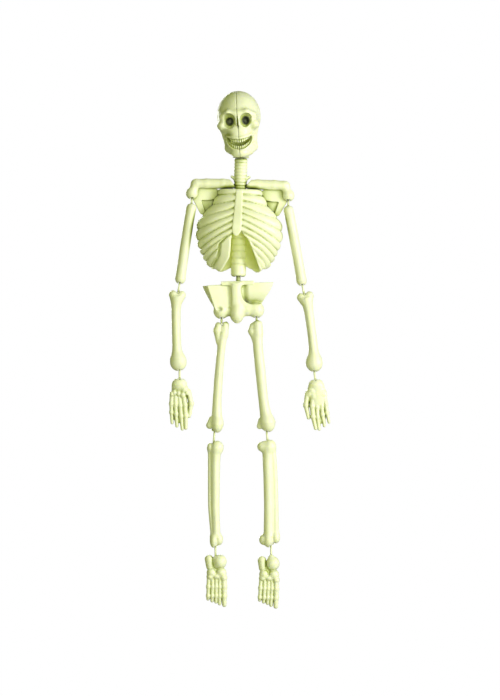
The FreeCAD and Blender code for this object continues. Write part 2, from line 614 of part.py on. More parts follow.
def makePelvis():
    """Flared wings under a flat top plate, with the tail bone down the middle and a knob over each hip."""
    half = [("plateHalfWidth", "plateRise"), ("plateHalfWidth + 3", "wingTop - 1"),
            ("wingHalfWidth", "wingTop"), ("wingHalfWidth - 2", "wingTop - 6"),
            ("hipSpan + hipRadius + 4", "0 - hipDrop * 0.35"),
            ("hipSpan + hipRadius - 3", "0 - hipDrop * 0.55"),
            ("hipSpan + hipRadius - 5", "0 - hipDrop * 0.8"),
            ("hipSpan - hipRadius + 3", "0 - hipDrop * 0.8"),
            ("sacrumRadius - 1", "5 - sacrumDrop"), ("sacrumRadius - 6", "0 - sacrumDrop")]
    outline = half + [("0 - ( %s )" % across, up) for across, up in reversed(half)]
    slab = prism("PelvisSlab", outline, "0 - pelvisThickness", "2 * pelvisThickness")
    tail = addPart("Cylinder", "TailBone", Radius="sacrumRadius", Height="sacrumDrop - 5")
    move(tail, y="0 - pelvisThickness * 0.6", z="5 - sacrumDrop")
    knobs, tools = [], []
    for name, sign in (("Right", "-1 * "), ("Left", "1 * ")):
        knob = addPart("Sphere", "HipKnob" + name, Radius="hipRadius")
        knobs.append(move(knob, x=sign + "hipSpan", z="hipRadius - hipDrop"))
        seat = linkSeat("HipSeat" + name, "X")
        tools.append(move(seat, x=sign + "hipSpan - barLength / 2 - endGap", z="socketDepth - hipDrop"))
        tools.append(foreSlot("HipSlot" + name, sign + "hipSpan", "socketDepth - hipDrop", "socketDepth"))
        scoop = ellipsoid("Scoop" + name, "wingHalfWidth * 0.34", "scoopDepth", "hipDrop * 0.36")
        tools.append(move(scoop, x=sign + "hipSpan * 1.15", y="0 - pelvisThickness - 1",
                          z="0 - hipDrop * 0.28"))
        room = block("WingRoom" + name, ("hipSpan * 0.5", "hipSpan * 1.3"), ("shellWall + scoopDepth - "
                     "pelvisThickness", "pelvisThickness - shellWall"), ("0 - hipDrop * 0.5", "wingTop - 5"))
        if sign.startswith("-"):
            move(room, x="0 - hipSpan * 1.3")
        tools.append(room)
    tools.append(linkSeat("WaistSeat", "Y", "waistLinkRadius", "waistBarLength"))
    tools.append(sideSlot("WaistSlot", "plateRise", "waistLinkRadius"))
    pelvis = cut("Pelvis", fuse("PelvisWhole", [slab, tail] + knobs), tools)
    halves(pelvis, "Y", ["pelvis_front", "pelvis_back"])
    for name in ("pelvis_front", "pelvis_back"):
        keep[name].Placement = pelvisFrame


# ---------------------------------------------------------------- hands and feet

def snapCollar(name):
    """The raised collar on a hand or foot, and the cuts that let a link's bar snap in and swing."""
    collar = addPart("Cylinder", name + "Collar", Radius="collarTopRadius", Height="collarTopHeight")
    move(collar, z="socketDepth - collarTopHeight")
    tools = [linkSeat(name + "Seat", "Y"), sideSlot(name + "Slot", "socketDepth"),
             block(name + "Snap", ("0 - snapOpening / 2", "snapOpening / 2"),
                   ("0 - barLength / 2 - endGap", "barLength / 2 + endGap"), ("0", "socketDepth + 1"))]
    return collar, tools


def digit(name, root, tip, radii):
    """A tapered rod with a round tip between two points of the X-Z plane."""
    run = Vector(tip[0] - root[0], 0, tip[1] - root[1])
    rod = addPart("Cone", name, Radius1=radii[0], Radius2=radii[1])
    rod.Height = run.Length
    rod.Placement = Placement(Vector(root[0], 0, root[1]), Rotation(Vector(0, 0, 1), run))
    end = addPart("Sphere", name + "Tip", Radius=radii[1])
    end.Placement.Base = Vector(tip[0], 0, tip[1])
    return [rod, end]


def makeHand(side, sign):
    """Palm, four fingers and a thumb on the inner side, in one moulding."""
    name = "Hand" + side
    collar, tools = snapCollar(name)
    palm = ellipsoid(name + "Palm", "palmHalfWidth", "palmHalfDepth", "palmHalfHeight")
    move(palm, z="socketDepth - 9 - palmHalfHeight")
    parts = [collar, palm]
    bottom = value("socketDepth") - value("handLength") + value("fingerTip")
    for i, shorter in enumerate(FINGERS["shorter"]):
        rootX = -sign * value("palmHalfWidth") * (FINGERS["first"] - FINGERS["step"] * i)
        parts += digit("%sFinger%d" % (name, i), (rootX, -FINGERS["root"]),
                       (FINGERS["spread"] * rootX, bottom + shorter), ("fingerRadius", "fingerTip"))
    root, tip = [(-sign * across, up) for across, up in THUMB]
    parts += digit(name + "Thumb", root, tip, ("fingerRadius + 0.6", "fingerTip"))
    keep["hand_" + side.lower()] = cut("hand_" + side.lower(), fuse(name + "Whole", parts), tools)
    keep["hand_" + side.lower()].Placement = frames["hand" + side]


def makeFoot(side, sign):
    """Ankle, heel and instep with five long toes that hang down, in one moulding."""
    name = "Foot" + side
    collar, tools = snapCollar(name)
    instep = ellipsoid(name + "Instep", "tarsalHalfWidth", "tarsalHalfDepth", "tarsalHalfHeight")
    move(instep, z="socketDepth - 7 - tarsalHalfHeight")
    heel = move(addPart("Sphere", name + "Heel", Radius="tarsalHalfDepth * 0.9"), x="-9", y="5", z="-12")
    parts = [collar, instep, heel]
    bottom = value("socketDepth") - value("footLength") + value("toeTip")
    for i, shorter in enumerate(TOES["shorter"]):
        rootX = -sign * value("tarsalHalfWidth") * (TOES["first"] - TOES["step"] * i)
        parts += digit("%sToe%d" % (name, i), (rootX, -TOES["root"]),
                       (TOES["spread"] * rootX, bottom + shorter), ("toeRadius", "toeTip"))
    keep["foot_" + side.lower()] = cut("foot_" + side.lower(), fuse(name + "Whole", parts), tools)
    keep["foot_" + side.lower()].Placement = frames["foot" + side]


# ---------------------------------------------------------------- the whole figure

makeSkull()
makeSpine()
makeRibCage()
makePelvis()
makeLink("waist_link", "waistLinkGap", "waistLinkRadius", "waistBarLength").Placement = waistFrame
for side, sign in (("Left", 1), ("Right", -1)):
    makeGirdle(side, sign)
    for segment, link, gap, length in ARM + LEG:
        makeLink("%s_link_%s" % (link, side.lower()), gap).Placement = frames[link + side]
    for segment, name in (("upperArm", "upper_arm"), ("forearm", "forearm"), ("thigh", "thigh"),
                          ("shin", "shin")):
        makeBone("%s_%s" % (name, side.lower()), segment, side)
    makeHand(side, sign)
    makeFoot(side, sign)
doc.recompute()

for obj in doc.Objects:
    if "Invalid" in obj.State or "Error" in obj.State:
        raise RuntimeError("%s (%s) did not build: %s" % (obj.Label, obj.TypeId, obj.State))
for name, obj in keep.items():
    obj.Label = name
    if obj.Shape.isNull() or not obj.Shape.isValid() or len(obj.Shape.Solids) != 1:
        raise RuntimeError("%s is not one valid solid" % name)

os.makedirs("parts", exist_ok=True)
for name, obj in sorted(keep.items()):
    obj.Shape.exportStep("parts/%s.step" % name)
    box = obj.Shape.BoundBox
    print("%-24s volume %8.0f  x %6.1f %6.1f  y %6.1f %6.1f  z %7.1f %7.1f" % (
        name, obj.Shape.Volume, box.XMin, box.XMax, box.YMin, box.YMax, box.ZMin, box.ZMax))
print(len(keep), "sub-parts")
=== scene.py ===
import json
import math

import bmesh
import bpy
import numpy as np
import openvdb
from mathutils import Matrix, Vector


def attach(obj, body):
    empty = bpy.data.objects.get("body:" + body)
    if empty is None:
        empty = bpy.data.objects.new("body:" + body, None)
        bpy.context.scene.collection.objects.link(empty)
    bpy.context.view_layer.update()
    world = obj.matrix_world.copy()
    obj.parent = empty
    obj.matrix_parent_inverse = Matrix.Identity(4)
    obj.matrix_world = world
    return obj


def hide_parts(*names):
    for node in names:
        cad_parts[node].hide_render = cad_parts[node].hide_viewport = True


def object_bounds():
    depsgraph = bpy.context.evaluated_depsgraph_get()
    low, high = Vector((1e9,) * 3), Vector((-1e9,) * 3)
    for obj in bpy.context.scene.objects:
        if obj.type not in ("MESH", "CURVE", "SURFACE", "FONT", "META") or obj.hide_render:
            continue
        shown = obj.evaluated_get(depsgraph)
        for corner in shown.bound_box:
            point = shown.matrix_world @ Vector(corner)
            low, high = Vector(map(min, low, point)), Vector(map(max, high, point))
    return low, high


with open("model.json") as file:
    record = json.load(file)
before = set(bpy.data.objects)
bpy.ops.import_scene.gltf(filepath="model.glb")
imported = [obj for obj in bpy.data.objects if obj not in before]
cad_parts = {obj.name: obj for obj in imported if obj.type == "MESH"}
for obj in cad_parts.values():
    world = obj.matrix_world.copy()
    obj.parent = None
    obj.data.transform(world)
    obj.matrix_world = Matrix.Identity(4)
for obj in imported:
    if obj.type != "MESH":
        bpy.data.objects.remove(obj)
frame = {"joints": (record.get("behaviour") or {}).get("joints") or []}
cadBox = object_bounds()

# Hanging jointed skeleton in hollow half shells. Every bone is modelled in its own frame in millimetres, as a
# distance field (below zero is plastic), meshed, and set down where its joint says.
# +Z up, +Y to the figure's back, +X to the figure's left. g is a grid of sample points, and m is 1 on the figure's
# left and -1 on its right.

mm = 0.001
jointAt = {joint["name"]: Vector(joint["pos_m"]) for joint in frame["joints"]}

hang = {  # joint that the part hangs from, and its lean about Y in degrees, foot towards the right arm
    "torso": ("neck_turn", 1.3), "waistLink": ("waist_bend", 1.3), "pelvis": ("waist_sway", -1.5),
    "shoulderLinkRight": ("shoulder_swing_right", 1.3), "upperArmRight": ("shoulder_side_right", 8.8),
    "elbowLinkRight": ("elbow_swing_right", 8.8), "forearmRight": ("elbow_side_right", -1),
    "wristLinkRight": ("wrist_swing_right", -1), "handRight": ("wrist_side_right", -2),
    "shoulderLinkLeft": ("shoulder_swing_left", 1.3), "upperArmLeft": ("shoulder_side_left", -10.5),
    "elbowLinkLeft": ("elbow_swing_left", -10.5), "forearmLeft": ("elbow_side_left", -7.5),
    "wristLinkLeft": ("wrist_swing_left", -7.5), "handLeft": ("wrist_side_left", -2),
    "hipLinkRight": ("hip_swing_right", -1.5), "thighRight": ("hip_side_right", 3.8),
    "kneeLinkRight": ("knee_swing_right", 3.8), "shinRight": ("knee_side_right", -1),
    "ankleLinkRight": ("ankle_swing_right", -1), "footRight": ("ankle_side_right", 0),
    "hipLinkLeft": ("hip_swing_left", -1.5), "thighLeft": ("hip_side_left", -5.3),
    "kneeLinkLeft": ("knee_swing_left", -5.3), "shinLeft": ("knee_side_left", -1.8),
    "ankleLinkLeft": ("ankle_swing_left", -1.8), "footLeft": ("ankle_side_left", 2),
}
skullHang = {"lean": -4, "turn": -3}


def leanBy(degrees):
    return Matrix.Rotation(math.radians(degrees), 4, "Y")


def placeOf(part):
    joint, lean = hang[part]
    return Matrix.Translation(jointAt[joint]) @ leanBy(lean) @ Matrix.Scale(mm, 4)


skullTurn = Matrix.Rotation(math.radians(skullHang["turn"]), 4, "Z")
skullPlace = leanBy(skullHang["lean"]) @ skullTurn @ Matrix.Scale(mm, 4)
sides = (("left", 1), ("right", -1))


def sideOf(m):
    return "left" if m > 0 else "right"


def makeGrid(low, high, voxel):
    # samples stand half a voxel either side of the planes X = 0, Y = 0 and Z = 0
    axes = [(np.arange(math.floor(low[i] / voxel) - 2, math.ceil(high[i] / voxel) + 3, dtype=np.float32) + 0.5) * voxel
            for i in range(3)]
    x, y, z = axes
    return {"x": x[:, None, None], "y": y[None, :, None], "z": z[None, None, :], "voxel": voxel,
            "corner": (float(x[0]), float(y[0]), float(z[0]))}


def egg(g, centre, radii):
    # an ellipsoid with half sizes along X, Y and Z
    x, y, z = g["x"] - centre[0], g["y"] - centre[1], g["z"] - centre[2]
    near = np.sqrt((x / radii[0]) ** 2 + (y / radii[1]) ** 2 + (z / radii[2]) ** 2)
    slope = np.sqrt((x / radii[0] ** 2) ** 2 + (y / radii[1] ** 2) ** 2 + (z / radii[2] ** 2) ** 2) + 1e-6
    return near * (near - 1) / slope


def rod(g, start, end, r0, r1=None, flat=1.0):
    # a round-ended rod that tapers from r0 to r1; flat squeezes it along Y
    r1 = r0 if r1 is None else r1
    a, b = np.array(start, float), np.array(end, float)
    run = b - a
    x, y, z = g["x"] - a[0], (g["y"] - a[1]) / flat, g["z"] - a[2]
    run[1] = run[1] / flat
    t = np.clip((x * run[0] + y * run[1] + z * run[2]) / max(float(run @ run), 1e-9), 0, 1)
    away = np.sqrt((x - t * run[0]) ** 2 + (y - t * run[1]) ** 2 + (z - t * run[2]) ** 2)
    return (away - (r0 + t * (r1 - r0))) * min(flat, 1.0)


def brick(g, centre, half, corner=0.0):
    # a block with half sizes along X, Y and Z, and round corners
    x, y, z = (np.abs(g[axis] - centre[i]) - half[i] + corner for i, axis in enumerate("xyz"))
    outside = np.sqrt(np.maximum(x, 0) ** 2 + np.maximum(y, 0) ** 2 + np.maximum(z, 0) ** 2)
    return outside + np.minimum(np.maximum(x, np.maximum(y, z)), 0) - corner


def join(a, b, blend=0.0):
    # both shapes together, melted into each other over the blend
    if not blend:
        return np.minimum(a, b)
    h = np.clip(0.5 + 0.5 * (b - a) / blend, 0, 1)
    return b * (1 - h) + a * h - blend * h * (1 - h)


def carve(a, b, blend=0.0):
    # the first shape with the second taken out
    return -join(-a, b, blend)


def eggs(g, rows, blend):
    # several (centre, half sizes) eggs melted into one
    whole = None
    for centre, radii in rows:
        whole = egg(g, centre, radii) if whole is None else join(whole, egg(g, centre, radii), blend)
    return whole


def chain(g, points, blend=4.0, flat=1.0):
    # rods through (x, y, z, radius) points, melted into one
    whole = None
    for p, q in zip(points, points[1:]):
        piece = rod(g, p[:3], q[:3], p[3], q[3], flat)
        whole = piece if whole is None else join(whole, piece, blend)
    return whole


def smoothRun(at, stations, window=9):
    # a smooth curve through (position, size) stations, read at the given places
    ends = (stations[0][0], stations[-1][0])
    fine = np.linspace(min(ends) - 10, max(ends) + 10, 400)
    table = sorted(stations)
    size = np.interp(fine, [s[0] for s in table], [s[1] for s in table])
    step = max(1, int(window / (fine[1] - fine[0])))
    size = np.convolve(np.pad(size, step, mode="edge"), np.ones(step) / step, mode="same")[step:-step]
    return np.interp(at, fine, size).astype(np.float32)


def surfaceOf(g, field):
    # the field's zero surface as points and four-sided faces
    voxel = g["voxel"]
    dense = np.clip(np.broadcast_to(field, (g["x"].size, g["y"].size, g["z"].size)), -3 * voxel, 3 * voxel)
    grid = openvdb.FloatGrid(3 * voxel)
    grid.copyFromArray(np.ascontiguousarray(dense, dtype=np.float32))
    grid.transform = openvdb.createLinearTransform(voxelSize=voxel)
    points, quads = grid.convertToQuads()
    return points + np.array(g["corner"], dtype=np.float32), quads


def addSurface(name, points, quads, place, body, node, material):
    # sets a surface down, and lets the piece stand for its node
    spin = np.array(place.to_3x3(), dtype=np.float64)
    points = points @ spin.T + np.array(place.translation)
    mesh = bpy.data.meshes.new(name)
    mesh.vertices.add(len(points))
    mesh.vertices.foreach_set("co", points.astype(np.float32).ravel())
    mesh.loops.add(quads.size)
    mesh.loops.foreach_set("vertex_index", quads.astype(np.int32).ravel())
    mesh.polygons.add(len(quads))
    mesh.polygons.foreach_set("loop_start", np.arange(0, quads.size, 4, dtype=np.int32))
    mesh.update(calc_edges=True)
    mesh.validate()
    mesh.polygons.foreach_set("use_smooth", np.ones(len(mesh.polygons), dtype=bool))
    piece = bpy.data.objects.new(name, mesh)
    bpy.context.collection.objects.link(piece)
    piece.data.materials.append(material)
    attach(piece, body)
    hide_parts(node)
    print("%-26s %7d faces" % (name, len(mesh.polygons)))
    return piece


def tube(g, stations):
    # a smooth round run along Z through (z, x, radius) stations; its ends stay square
    z = g["z"]
    across = smoothRun(z, [(at, x) for at, x, r in stations], 24)
    radius = smoothRun(z, [(at, r) for at, x, r in stations], 16)
    away = np.sqrt((g["x"] - across) ** 2 + g["y"] ** 2) - radius
    ends = [at for at, x, r in stations]
    return np.maximum(away, np.maximum(z - max(ends), min(ends) - z))


def axial(g, base, along):
    # how far each point is from an axis, and how far along it
    x, y, z = (g[axis] - base[i] for i, axis in enumerate("xyz"))
    reach = x * along[0] + y * along[1] + z * along[2]
    return np.sqrt(np.maximum(x * x + y * y + z * z - reach * reach, 0)), reach


def addMesh(name, g, field, place, body, node, material):
    # meshes a field and sets it down
    points, quads = surfaceOf(g, field)
    return addSurface(name, points, quads, place, body, node, material)


def closeCap(piece):
    # fills a half's open plane with flat faces whose rim stays crisp
    mesh = piece.data
    work = bmesh.new()
    work.from_mesh(mesh)
    rim = [edge for edge in work.edges if edge.is_boundary]
    for face in bmesh.ops.holes_fill(work, edges=rim, sides=0)["faces"]:
        face.smooth = False
    for edge in rim:
        edge.smooth = False
    work.to_mesh(mesh)
    work.free()


def addPair(g, field, names, place, body, material):
    # one surface shared out at the plane X = 0, so that the closed seam hardly shows: lower half first
    points, quads = surfaceOf(g, field)
    middle = points[quads].mean(axis=1)[:, 0]
    points[np.abs(points[:, 0]) < 0.5 * g["voxel"], 0] = 0
    for name, chosen in zip(names, (middle < 0, middle >= 0)):
        used, faces = np.unique(quads[chosen], return_inverse=True)
        piece = addSurface(name + "_shell", points[used], faces.reshape(-1, 4), place, body, name, material)
        closeCap(piece)


seam = {"gap": 0.12, "round": 0.9}


def addHalves(g, field, axis, names, place, body, material):
    # parts a moulding at its plane X = 0 or Y = 0 (lower half first), with softened seam edges
    for name, sign in zip(names, (1, -1)):
        half = carve(field, -(sign * g[axis] + seam["gap"]), seam["round"])
        addMesh(name + "_shell", g, half, place, body, name, material)


def linear(hexColour):
    # a screen colour as the linear values that a shader takes
    def one(c):
        return c / 12.92 if c <= 0.04045 else ((c + 0.055) / 1.055) ** 2.4
    return tuple(one(int(hexColour[i:i + 2], 16) / 255) for i in (1, 3, 5)) + (1.0,)


def node(tree, kind, settings=None, links=None):
    # adds a node with its settings, socket values and incoming links
    made = tree.nodes.new(kind)
    for key, value in (settings or {}).items():
        if hasattr(made, key) and key not in made.inputs:
            setattr(made, key, value)
        else:
            made.inputs[key].default_value = value
    for key, source in (links or {}).items():
        tree.links.new(source, made.inputs[key])
    return made


bonePlasticAndPaintedLight = {
    # hollow and deep are painted shade for the hollows, and glow is a painted green light laid over the plastic
    "pale": "#e2e3cf", "worn": "#eeefdf", "hollow": "#9aa647", "deep": "#1c2b0c", "glow": "#e4f53c",
    "deepShadeAt": 0.22, "hollowShadeAt": 0.62, "paleAt": 0.93,  # how open a spot is where each colour holds: the ramp paints shade into the hollows
    "reach": 18,  # mm over which the painted shade darkens a hollow
    # the glow is painted light: a green emission, no lamp, that lifts the shadows to olive and fades out in the
    # hollows
    "paintedGlowStrength": 0.12, "roughness": 0.45, "sheen": 0.7,
    "cloudScale": 60.0, "cloudShare": 0.35,  # faint paler clouds from handling, about 17 mm across
    # a mould ripple about 6 mm across and 0.4 mm high: drawn coarser than the real one, so that it shows
    "grainScale": 180.0, "grainStrength": 0.08, "grainHeight": 0.0004,
    "waxiness": 0.3, "waxDepth": 0.006, "waxColour": (0.9, 1.0, 0.25),
}


def makeBonePlastic():
    # phosphorescent polyethylene, blow moulded in half shells: pale waxy bone, a little translucent, with painted
    # shade that turns it olive to near black in its hollows, a painted green glow over its shadows, and a faint mould
    # ripple
    material = bpy.data.materials.new("mouldedPolyethyleneWithPaintedShadeAndGlow")
    material.use_nodes = True
    tree = material.node_tree
    tree.nodes.clear()
    where = node(tree, "ShaderNodeTexCoord")
    # how open each spot is: it sets the painted shade in the hollows and the strength of the painted glow
    occlusionShade = node(tree, "ShaderNodeAmbientOcclusion", {"samples": 16, "Distance": bonePlasticAndPaintedLight["reach"] * mm})
    # painted shade: pale on open faces, olive in the hollows and near black deep inside them
    tint = node(tree, "ShaderNodeValToRGB", links={"Fac": occlusionShade.outputs["AO"]})
    stops = tint.color_ramp.elements
    stops[0].position, stops[0].color = bonePlasticAndPaintedLight["deepShadeAt"], linear(bonePlasticAndPaintedLight["deep"])
    stops[1].position, stops[1].color = bonePlasticAndPaintedLight["paleAt"], linear(bonePlasticAndPaintedLight["pale"])
    middle = stops.new(bonePlasticAndPaintedLight["hollowShadeAt"])
    middle.color = linear(bonePlasticAndPaintedLight["hollow"])
    cloud = node(tree, "ShaderNodeTexNoise", {"Scale": bonePlasticAndPaintedLight["cloudScale"], "Detail": 3.0},
                 {"Vector": where.outputs["Object"]})
    cloudShare = node(tree, "ShaderNodeMapRange", {"From Min": 0.4, "From Max": 0.75, "To Min": 0.0,
                                                   "To Max": bonePlasticAndPaintedLight["cloudShare"]},
                      {"Value": cloud.outputs["Fac"]})
    mix = node(tree, "ShaderNodeMix", {"data_type": "RGBA"})
    tree.links.new(cloudShare.outputs["Result"], mix.inputs[0])
    tree.links.new(tint.outputs["Color"], mix.inputs[6])
    mix.inputs[7].default_value = linear(bonePlasticAndPaintedLight["worn"])
    grain = node(tree, "ShaderNodeTexNoise", {"Scale": bonePlasticAndPaintedLight["grainScale"], "Detail": 1.0},
                 {"Vector": where.outputs["Object"]})
    bump = node(tree, "ShaderNodeBump", {"Strength": bonePlasticAndPaintedLight["grainStrength"],
                                         "Distance": bonePlasticAndPaintedLight["grainHeight"]}, {"Height": grain.outputs["Fac"]})
    # painted glow: an emission that paints green light into the shadows, weaker where the hollows close in
    glow = node(tree, "ShaderNodeMapRange", {"From Min": 0.3, "From Max": 1.0, "To Min": 0.0,
                                             "To Max": bonePlasticAndPaintedLight["paintedGlowStrength"]}, {"Value": occlusionShade.outputs["AO"]})
    shader = node(tree, "ShaderNodeBsdfPrincipled", {"Roughness": bonePlasticAndPaintedLight["roughness"], "IOR": 1.5,
                                                     "Subsurface Weight": bonePlasticAndPaintedLight["waxiness"],
                                                     "Subsurface Scale": bonePlasticAndPaintedLight["waxDepth"]},
                  {"Base Color": mix.outputs[2], "Normal": bump.outputs["Normal"],
                   "Emission Strength": glow.outputs["Result"]})
    shader.inputs["Specular IOR Level"].default_value = bonePlasticAndPaintedLight["sheen"]
    shader.inputs["Subsurface Radius"].default_value = bonePlasticAndPaintedLight["waxColour"]
    shader.inputs["Emission Color"].default_value = linear(bonePlasticAndPaintedLight["glow"])
    out = node(tree, "ShaderNodeOutputMaterial")
    tree.links.new(shader.outputs["BSDF"], out.inputs["Surface"])
    return material


boneMaterial = makeBonePlastic()


linkShape = {
    "radius": 1.8, "bar": 10,
    "depth": 6,  # from a bone's end to its bar
    "clear": 0.8, "seat": 0.55,  # play round the shaft and round the bar
    "fore": 42, "side": 36,  # how far the slots let a link swing, in degrees
    "gap": {"shoulder": 6.5, "elbow": 9.7, "wrist": 9.8, "hip": 4, "knee": 12, "ankle": 14.3},
}
waistShape = {"gap": 8, "radius": 4, "bar": 17}


def slotAbove(g, radius=linkShape["radius"]):
    # the fan that a link sweeps above a socket, and the seat of its bar along Y
    x, y, z, play = g["x"], g["y"], g["z"], radius + linkShape["clear"]
    tilt = math.radians(linkShape["side"])
    fan = np.maximum(np.abs(x) * math.cos(tilt) - z * math.sin(tilt) - play, -z - radius)
    fan = np.maximum(fan, np.abs(y) - play)
    seat = np.maximum(np.sqrt(x ** 2 + z ** 2) - radius - linkShape["seat"],
                      np.abs(y) - linkShape["bar"] / 2 - linkShape["seat"])
    return np.minimum(fan, seat)


def slotBelow(g, radius=linkShape["radius"], bar=linkShape["bar"], x=0.0, z=0.0):
    # the fan that a link sweeps below a socket, and the seat of its bar along X
    x, y, z, play = g["x"] - x, g["y"], g["z"] - z, radius + linkShape["clear"]
    tilt = math.radians(linkShape["fore"])
    fan = np.maximum(np.abs(y) * math.cos(tilt) + z * math.sin(tilt) - play, z - radius)
    fan = np.maximum(fan, np.abs(x) - play)
    seat = np.maximum(np.sqrt(y ** 2 + z ** 2) - radius - linkShape["seat"],
                      np.abs(x) - bar / 2 - linkShape["seat"])
    return np.minimum(fan, seat)


def addLink(part, name, gap, radius=linkShape["radius"], bar=linkShape["bar"]):
    # a round shaft with a bar along X at the top, a bar along Y at the foot, and a collar above the foot
    depth = linkShape["depth"]
    span = 2 * depth + gap
    reach = bar / 2 + 1
    g = makeGrid((-reach, -reach, -span - radius), (reach, reach, radius), 0.4 if radius < 3 else 0.6)
    shaft = rod(g, (0, 0, -0.5), (0, 0, 0.5 - span), radius * 0.98)
    half = bar / 2 - radius * 0.35
    top = np.maximum(rod(g, (-half, 0, 0), (half, 0, 0), radius), np.abs(g["x"]) - bar / 2)
    foot = np.maximum(rod(g, (0, -half, -span), (0, half, -span), radius), np.abs(g["y"]) - bar / 2)
    collar = rod(g, (0, 0, depth + 0.9 - span), (0, 0, depth + 0.2 - span), radius * 0.7, radius)
    whole = join(join(shaft, top, 0.8), join(foot, collar, 0.4), 0.8)
    addMesh(name + "_bar", g, whole, placeOf(part), name, name, boneMaterial)


for side, m in sides:
    for link, gap in linkShape["gap"].items():
        addLink("%sLink%s" % (link, side.capitalize()), "%s_link_%s" % (link, side), gap)
addLink("waistLink", "waist_link", waistShape["gap"], waistShape["radius"], waistShape["bar"])
print("links made")


# every shaft is a row of (height, sideways, radius), and every egg is its centre and half sizes
armShape = {
    "upperShaft": [(-4, 0, 8.6), (-20, 0.4, 8.4), (-70, 0.6, 8.5), (-112, 0.2, 8.5), (-128, 0, 8.9)],
    "upperEnds": [((0, 0, -3.5), (8.6, 8.6, 9)), ((0, 0, -127), (8.9, 8.8, 9.4))],
    "foreKnobs": [((8.2, 0, -3), (5, 0, -10), 7.8, 7.4), ((-5.4, 0, -4), (-2, 0, -10), 7.8, 7.4)],
    "foreSaddle": ((5, 0, -5.2), (-2, 0, -5.6), 7.6),
    "foreShaft": [(-6, 2.0, 11), (-14, 3.2, 10.2), (-26, 4.2, 8.0), (-64, 4.4, 7.6), (-96, 4, 7.8), (-112, 2.4, 11.5)],
    "foreBulb": ((1.8, 0, -119.5), (14.4, 12.5, 15.5)),
}


def mirrorPoint(point, m):
    return (point[0] * m,) + tuple(point[1:])


def mirrorShaft(stations, m):
    return [(z, x * m, r) for z, x, r in stations]


def upperArm(g, m):
    top, bottom = (egg(g, *end) for end in armShape["upperEnds"])
    return join(join(tube(g, mirrorShaft(armShape["upperShaft"], m)), top, 1), bottom, 1)


def forearm(g, m):
    outer, inner = (rod(g, mirrorPoint(a, m), mirrorPoint(b, m), r0, r1) for a, b, r0, r1 in armShape["foreKnobs"])
    start, end, thick = armShape["foreSaddle"]
    head = join(join(outer, inner, 4), rod(g, mirrorPoint(start, m), mirrorPoint(end, m), thick), 2)
    centre, radii = armShape["foreBulb"]
    whole = join(head, tube(g, mirrorShaft(armShape["foreShaft"], m)), 4)
    return join(whole, egg(g, mirrorPoint(centre, m), radii), 6)


thighShape = {
    "left": {
        "head": ((1, 0, -3), (0.6, 0, -18), 8.8, 8.6),
        "bump": [(-7, 0.5, -4, 5.4), (-9.2, 0.5, -13, 6.8), (-5, 0.5, -30, 5)], "fill": None,
        "shaft": [(-8, 0.4, 8.6), (-46, -1.8, 8.5), (-82, -1.2, 8.8), (-134, -0.9, 8.3), (-156, 0.8, 9.6),
                  (-172, 3, 12.6)],
        "knee": ((3.2, -1, -174.5), (12.8, 12, 15)), "lobe": ((-8.6, 1, -168), (-11.4, 1, -178), 4.4, 5.0),
    },
    "right": {
        "head": ((6.2, 0, -1.5), (6, 0, -18), 6.6, 6.8),
        "bump": [(-4.8, 0.5, -3.5, 6.6), (-6.2, 0.5, -12, 7.2), (-2.5, 0.5, -32, 5)],
        "fill": [(1, 0.5, -8, 6.2), (1, 0.5, -22, 6), (1, 0.5, -38, 5.4)],
        "shaft": [(-14, 5, 7), (-45, 1.8, 6.8), (-97, 0.8, 7.4), (-132, 0.9, 7.5), (-156, 2, 8.8), (-172, 4, 10)],
        "knee": ((4.2, -1, -174), (10.2, 12, 14)), "lobe": ((-5.8, 1, -165), (-8.8, 1, -176), 5.4, 6.4),
    },
}


def thigh(g, m):
    # both sides have a hip bump on the viewer's left of the head, and a small lobe on the viewer's left of the knee
    shape = thighShape[sideOf(m)]
    bump = chain(g, shape["bump"], 2)
    if shape["fill"]:
        bump = join(bump, chain(g, shape["fill"], 2), 1.6)
    whole = join(join(rod(g, *shape["head"]), bump, 2.4), tube(g, shape["shaft"]), 3)
    return join(join(whole, egg(g, *shape["knee"]), 5), rod(g, *shape["lobe"]), 2.6)


shinShape = {
    "left": {
        "top": [((2.2, 0, -6), (12.2, 11.5, 12)), ((-9.8, 0, -6), (8.6, 9, 9))], "topBlend": 5,
        "big": [(-8, 0, 10), (-24, -1.2, 8.6), (-60, -1.4, 8.0), (-110, -1.8, 8.0), (-160, -3.6, 8.6)],
        "small": [(-8, 6.5, 6), (-24, 9, 5.4), (-60, 9.8, 5.2), (-110, 9.8, 5.2), (-160, 8.6, 6)],
        "web": [(-10, 4, 6), (-80, 4.4, 5.8), (-158, 3, 6)],
        "foot": [((-4.2, -1, -168.5), (8.8, 10.5, 12)), ((-13.2, 1, -167), (7, 8, 9)),
                 ((8.8, 0, -164.5), (7.2, 8.5, 9.5))], "footBlend": 3.5,
    },
    "right": {
        "top": [((5.6, 0, -6), (11.6, 11.5, 12)), ((-6.8, 1, -6), (4.6, 8, 8))], "topBlend": 3,
        "big": [(-8, 4.4, 10), (-24, 2.6, 8.4), (-60, 1.6, 8), (-110, 0.6, 7.4), (-160, 1.6, 7.2)],
        "small": [(-8, -6.2, 3.8), (-60, -7.4, 3.6), (-110, -8, 3.6), (-160, -4, 4)],
        "web": [(-10, -1, 6), (-80, -2, 5.4), (-158, -2, 4.6)],
        "foot": [((-2.6, -1, -167.5), (7, 9.5, 12)), ((6.2, 0, -165), (7.2, 9, 10))], "footBlend": 2.4,
    },
}


def shin(g, m):
    # two long bones side by side in one moulding, with a shallow groove between them
    shape = shinShape[sideOf(m)]
    big, small, web = (tube(g, shape[key]) for key in ("big", "small", "web"))
    bones = join(join(big, small, 1.0), web, 1.0)
    whole = join(eggs(g, shape["top"], shape["topBlend"]), bones, 4)
    return join(whole, eggs(g, shape["foot"], shape["footBlend"]), 5)


